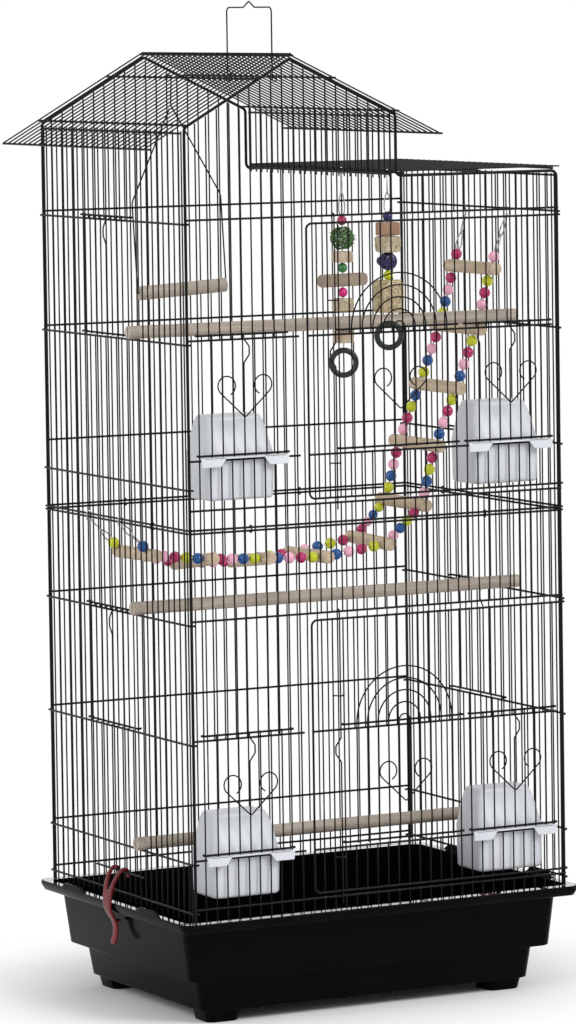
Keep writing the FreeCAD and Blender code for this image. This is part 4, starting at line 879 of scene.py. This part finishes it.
# Loofah toy: a wooden block, a block wrapped in pale loofah, a woven ball, beads and a loofah roll on a wire.
# It hangs by the same kind of links in front of the ball toy and ends in the same kind of ring.
LOOFAH_TOY_Y = -132.0
LOOFAH_TOY_LENGTH = 148.0
LOOFAH_TOY_LINKS = [(1.0, 21.5, 7.0, 0.3), (20.0, 40.0, 8.5, 2.0)]
LOOFAH_TOY_BEADS = (44.0, 102.8)
BROWN_BLOCK_DROP, BROWN_BLOCK = 56.5, (21.0, 14.0, 13.0)
CORE_BLOCK_DROP, CORE_BLOCK = 72.0, (18.0, 14.0, 16.0)
WRAP_SIZE, WRAP_HEIGHT, WRAP_FIBRES = 26.0, 15.6, 130
WOVEN_DROP, WOVEN_SIZE, WOVEN_STRANDS, WOVEN_STRAND = 89.0, 18.6, 30, 1.0
BUD_DROP, BUD_ASIDE, BUD_SIZE, BUD_STRANDS, BUD_STRAND = 88.5, Vector((-7.0, 1.5, 0)), 10.0, 18, 0.9
ROLL_DROP, ROLL_SIZE, ROLL_HEIGHT, ROLL_FIBRES, ROLL_FIBRE, ROLL_LUMPS = 124.2, 30.0, 32.0, 240, 0.5, 0.11
LOOFAH_TOY_RING_DROP, LOOFAH_TOY_RING = 163.0, 30.0
brown_wood = wood("brown_wood", 2, [(0.3, "7f5f4a"), (0.5, "9a7860"), (0.7, "ad8c75")])
purple_wicker = painted("purple_wicker", [(0.3, "150b38"), (0.7, "281a58")], (0.14, 0.28), 0.04)
toy_navy = painted("toy_navy", [(0.3, "17124a"), (0.7, "221c5e")])
# The darkest stop carries the painted shade in the holes of the loofah net.
tan_loofah = dried("tan_loofah", [(0.1, "8f7f63"), (0.3, "bdab8b"), (0.5, "d2c1a0"), (0.7, "dccfae")], 0.6)
hanger = bmesh.new()
add_hanger(hanger, LOOFAH_TOY_Y, LOOFAH_TOY_LENGTH, LOOFAH_TOY_LINKS)
make_piece("loofah_toy_links", hanger, [bright_wire], "loofah_toy", ["loofah_toy_hanger"])
toy_beads = toy_bead_row(LOOFAH_TOY_Y, LOOFAH_TOY_BEADS)
make_piece("loofah_toy_painted_beads", toy_beads, [toy_navy, bead_paints["y"]], "loofah_toy",
           ["loofah_toy_beads"])
wooden = bmesh.new()
add_block(wooden, toy_spot(LOOFAH_TOY_Y, BROWN_BLOCK_DROP), BROWN_BLOCK)
add_block(wooden, toy_spot(LOOFAH_TOY_Y, CORE_BLOCK_DROP), CORE_BLOCK)
make_piece("loofah_toy_blocks", wooden, [brown_wood], "loofah_toy", ["loofah_toy_wood"])
wrap = bmesh.new()
add_loofah(wrap, toy_spot(LOOFAH_TOY_Y, CORE_BLOCK_DROP), WRAP_SIZE, WRAP_HEIGHT, WRAP_FIBRES, FIBRE,
           random.Random(17))
make_piece("loofah_toy_pale_slice", wrap, [pale_loofah], "loofah_toy", crease=LOOFAH_CREASE)
woven = bmesh.new()
draw = random.Random(23)
add_wicker(woven, toy_spot(LOOFAH_TOY_Y, WOVEN_DROP), WOVEN_SIZE, WOVEN_STRANDS, WOVEN_STRAND, draw)
add_wicker(woven, toy_spot(LOOFAH_TOY_Y, BUD_DROP) + BUD_ASIDE, BUD_SIZE, BUD_STRANDS, BUD_STRAND, draw)
make_piece("loofah_toy_woven_ball", woven, [purple_wicker], "loofah_toy", ["loofah_toy_ball"])
roll = bmesh.new()
add_loofah(roll, toy_spot(LOOFAH_TOY_Y, ROLL_DROP), ROLL_SIZE, ROLL_HEIGHT, ROLL_FIBRES, ROLL_FIBRE,
           random.Random(31), lumps=ROLL_LUMPS)
make_piece("loofah_toy_fibre_roll", roll, [tan_loofah], "loofah_toy", ["loofah_toy_roll"], LOOFAH_CREASE)
ring = bmesh.new()
add_ring(ring, toy_spot(LOOFAH_TOY_Y, LOOFAH_TOY_RING_DROP), LOOFAH_TOY_RING, RING_TUBE)
make_piece("loofah_toy_moulded_ring", ring, [ring_green], "loofah_toy", ["loofah_toy_ring"])

# Studio: a plain pale floor that fades into a white surround, broad soft lamps and a long lens.
# The camera stands to the front and left of the cage, a little above its roof.
FLOOR_HALF = 30.0
FADE_FROM = 0.22
FADE_TO = 0.44
floor_mesh = bpy.data.meshes.new("studio_floor")
floor_mesh.from_pydata([(-FLOOR_HALF, -FLOOR_HALF, 0), (FLOOR_HALF, -FLOOR_HALF, 0), (FLOOR_HALF, FLOOR_HALF, 0),
                        (-FLOOR_HALF, FLOOR_HALF, 0)], [], [(0, 1, 2, 3)])
floor = bpy.data.objects.new("studio_floor", floor_mesh)
bpy.context.scene.collection.objects.link(floor)
floor_pale, tree, shader, place = new_finish("floor_pale")
tree.links.new(colours(tree, cloud(tree, place, 900.0), [(0.3, "f6f6f6"), (0.7, "fafafa")]),
               shader.inputs["Base Color"])
shader.inputs["Roughness"].default_value = 0.9
shader.inputs["Specular IOR Level"].default_value = 0.0


def seen_rays(tree):
    """One for rays that show the surround itself: from the camera, or by way of gloss or glass."""
    path = tree.nodes.new("ShaderNodeLightPath")
    total = path.outputs["Is Camera Ray"]
    for name in ("Is Glossy Ray", "Is Transmission Ray"):
        both = tree.nodes.new("ShaderNodeMath")
        both.operation = "MAXIMUM"
        tree.links.new(total, both.inputs[0])
        tree.links.new(path.outputs[name], both.inputs[1])
        total = both.outputs["Value"]
    return total


distance = tree.nodes.new("ShaderNodeVectorMath")
distance.operation = "LENGTH"
tree.links.new(place, distance.inputs[0])
fade = tree.nodes.new("ShaderNodeMapRange")
fade.interpolation_type = "SMOOTHSTEP"
fade.inputs["From Min"].default_value = FADE_FROM
fade.inputs["From Max"].default_value = FADE_TO
tree.links.new(distance.outputs["Value"], fade.inputs["Value"])
share = tree.nodes.new("ShaderNodeMath")
share.operation = "MULTIPLY"
tree.links.new(fade.outputs["Result"], share.inputs[0])
tree.links.new(seen_rays(tree), share.inputs[1])
glow = tree.nodes.new("ShaderNodeEmission")
mixed = tree.nodes.new("ShaderNodeMixShader")
tree.links.new(share.outputs["Value"], mixed.inputs["Fac"])
tree.links.new(shader.outputs["BSDF"], mixed.inputs[1])
tree.links.new(glow.outputs["Emission"], mixed.inputs[2])
tree.links.new(mixed.outputs["Shader"], tree.nodes["Material Output"].inputs["Surface"])
floor_mesh.materials.append(floor_pale)


def soft_lamp(name, place, aim, size, power):
    lamp = bpy.data.lights.new(name, "AREA")
    lamp.shape = "DISK"
    lamp.size = size
    lamp.energy = power
    shown = bpy.data.objects.new(name, lamp)
    bpy.context.scene.collection.objects.link(shown)
    shown.location = place
    shown.rotation_euler = (Vector(aim) - Vector(place)).to_track_quat("-Z", "Y").to_euler()


MIDDLE = (0.0, 0.0, 0.5)
SURROUND_LIGHT = 0.72
KEY_PLACE, KEY_SIZE, KEY_POWER = (1.6, -3.6, 3.2), 2.4, 125.0
SIDE_PLACE, SIDE_SIZE, SIDE_POWER = (-3.6, -0.6, 2.0), 2.2, 45.0
soft_lamp("key_lamp", KEY_PLACE, MIDDLE, KEY_SIZE, KEY_POWER)
soft_lamp("side_lamp", SIDE_PLACE, MIDDLE, SIDE_SIZE, SIDE_POWER)
world = bpy.data.worlds.new("studio")
bpy.context.scene.world = world
world.use_nodes = True
tree = world.node_tree
surround = tree.nodes["Background"]
surround.inputs["Color"].default_value = (1.0, 1.0, 1.0, 1.0)
level = tree.nodes.new("ShaderNodeMapRange")
level.inputs["To Min"].default_value = SURROUND_LIGHT
level.inputs["To Max"].default_value = 1.0
tree.links.new(seen_rays(tree), level.inputs["Value"])
tree.links.new(level.outputs["Result"], surround.inputs["Strength"])

FRAME_PIXELS = (576, 1024)
FOCUS_PIXELS = 5375.2
SENSOR = 36.0
CAMERA_PLACE = (-2.5511, -4.8196, 1.0151)
CAMERA_TURN = 27.7725
CAMERA_DIP = 3.3432
CAMERA_ROLL = 0.8251
LENS_SHIFT = -0.2
turn = math.radians(CAMERA_TURN)
dip = math.radians(CAMERA_DIP)
camera = bpy.data.cameras.new("camera")
camera.sensor_width = SENSOR
camera.lens = FOCUS_PIXELS / FRAME_PIXELS[1] * SENSOR
camera.shift_y = LENS_SHIFT
camera.clip_end = 100.0
seen = bpy.data.objects.new("camera", camera)
bpy.context.scene.collection.objects.link(seen)
seen.location = CAMERA_PLACE
heading = Vector((math.sin(turn) * math.cos(dip), math.cos(turn) * math.cos(dip), -math.sin(dip)))
seen.rotation_mode = "QUATERNION"
tilt = Matrix.Rotation(math.radians(-CAMERA_ROLL), 4, "Z").to_quaternion()
seen.rotation_quaternion = heading.to_track_quat("-Z", "Y") @ tilt
bpy.context.scene.camera = seen

bpy.context.scene.view_settings.view_transform = "Standard"
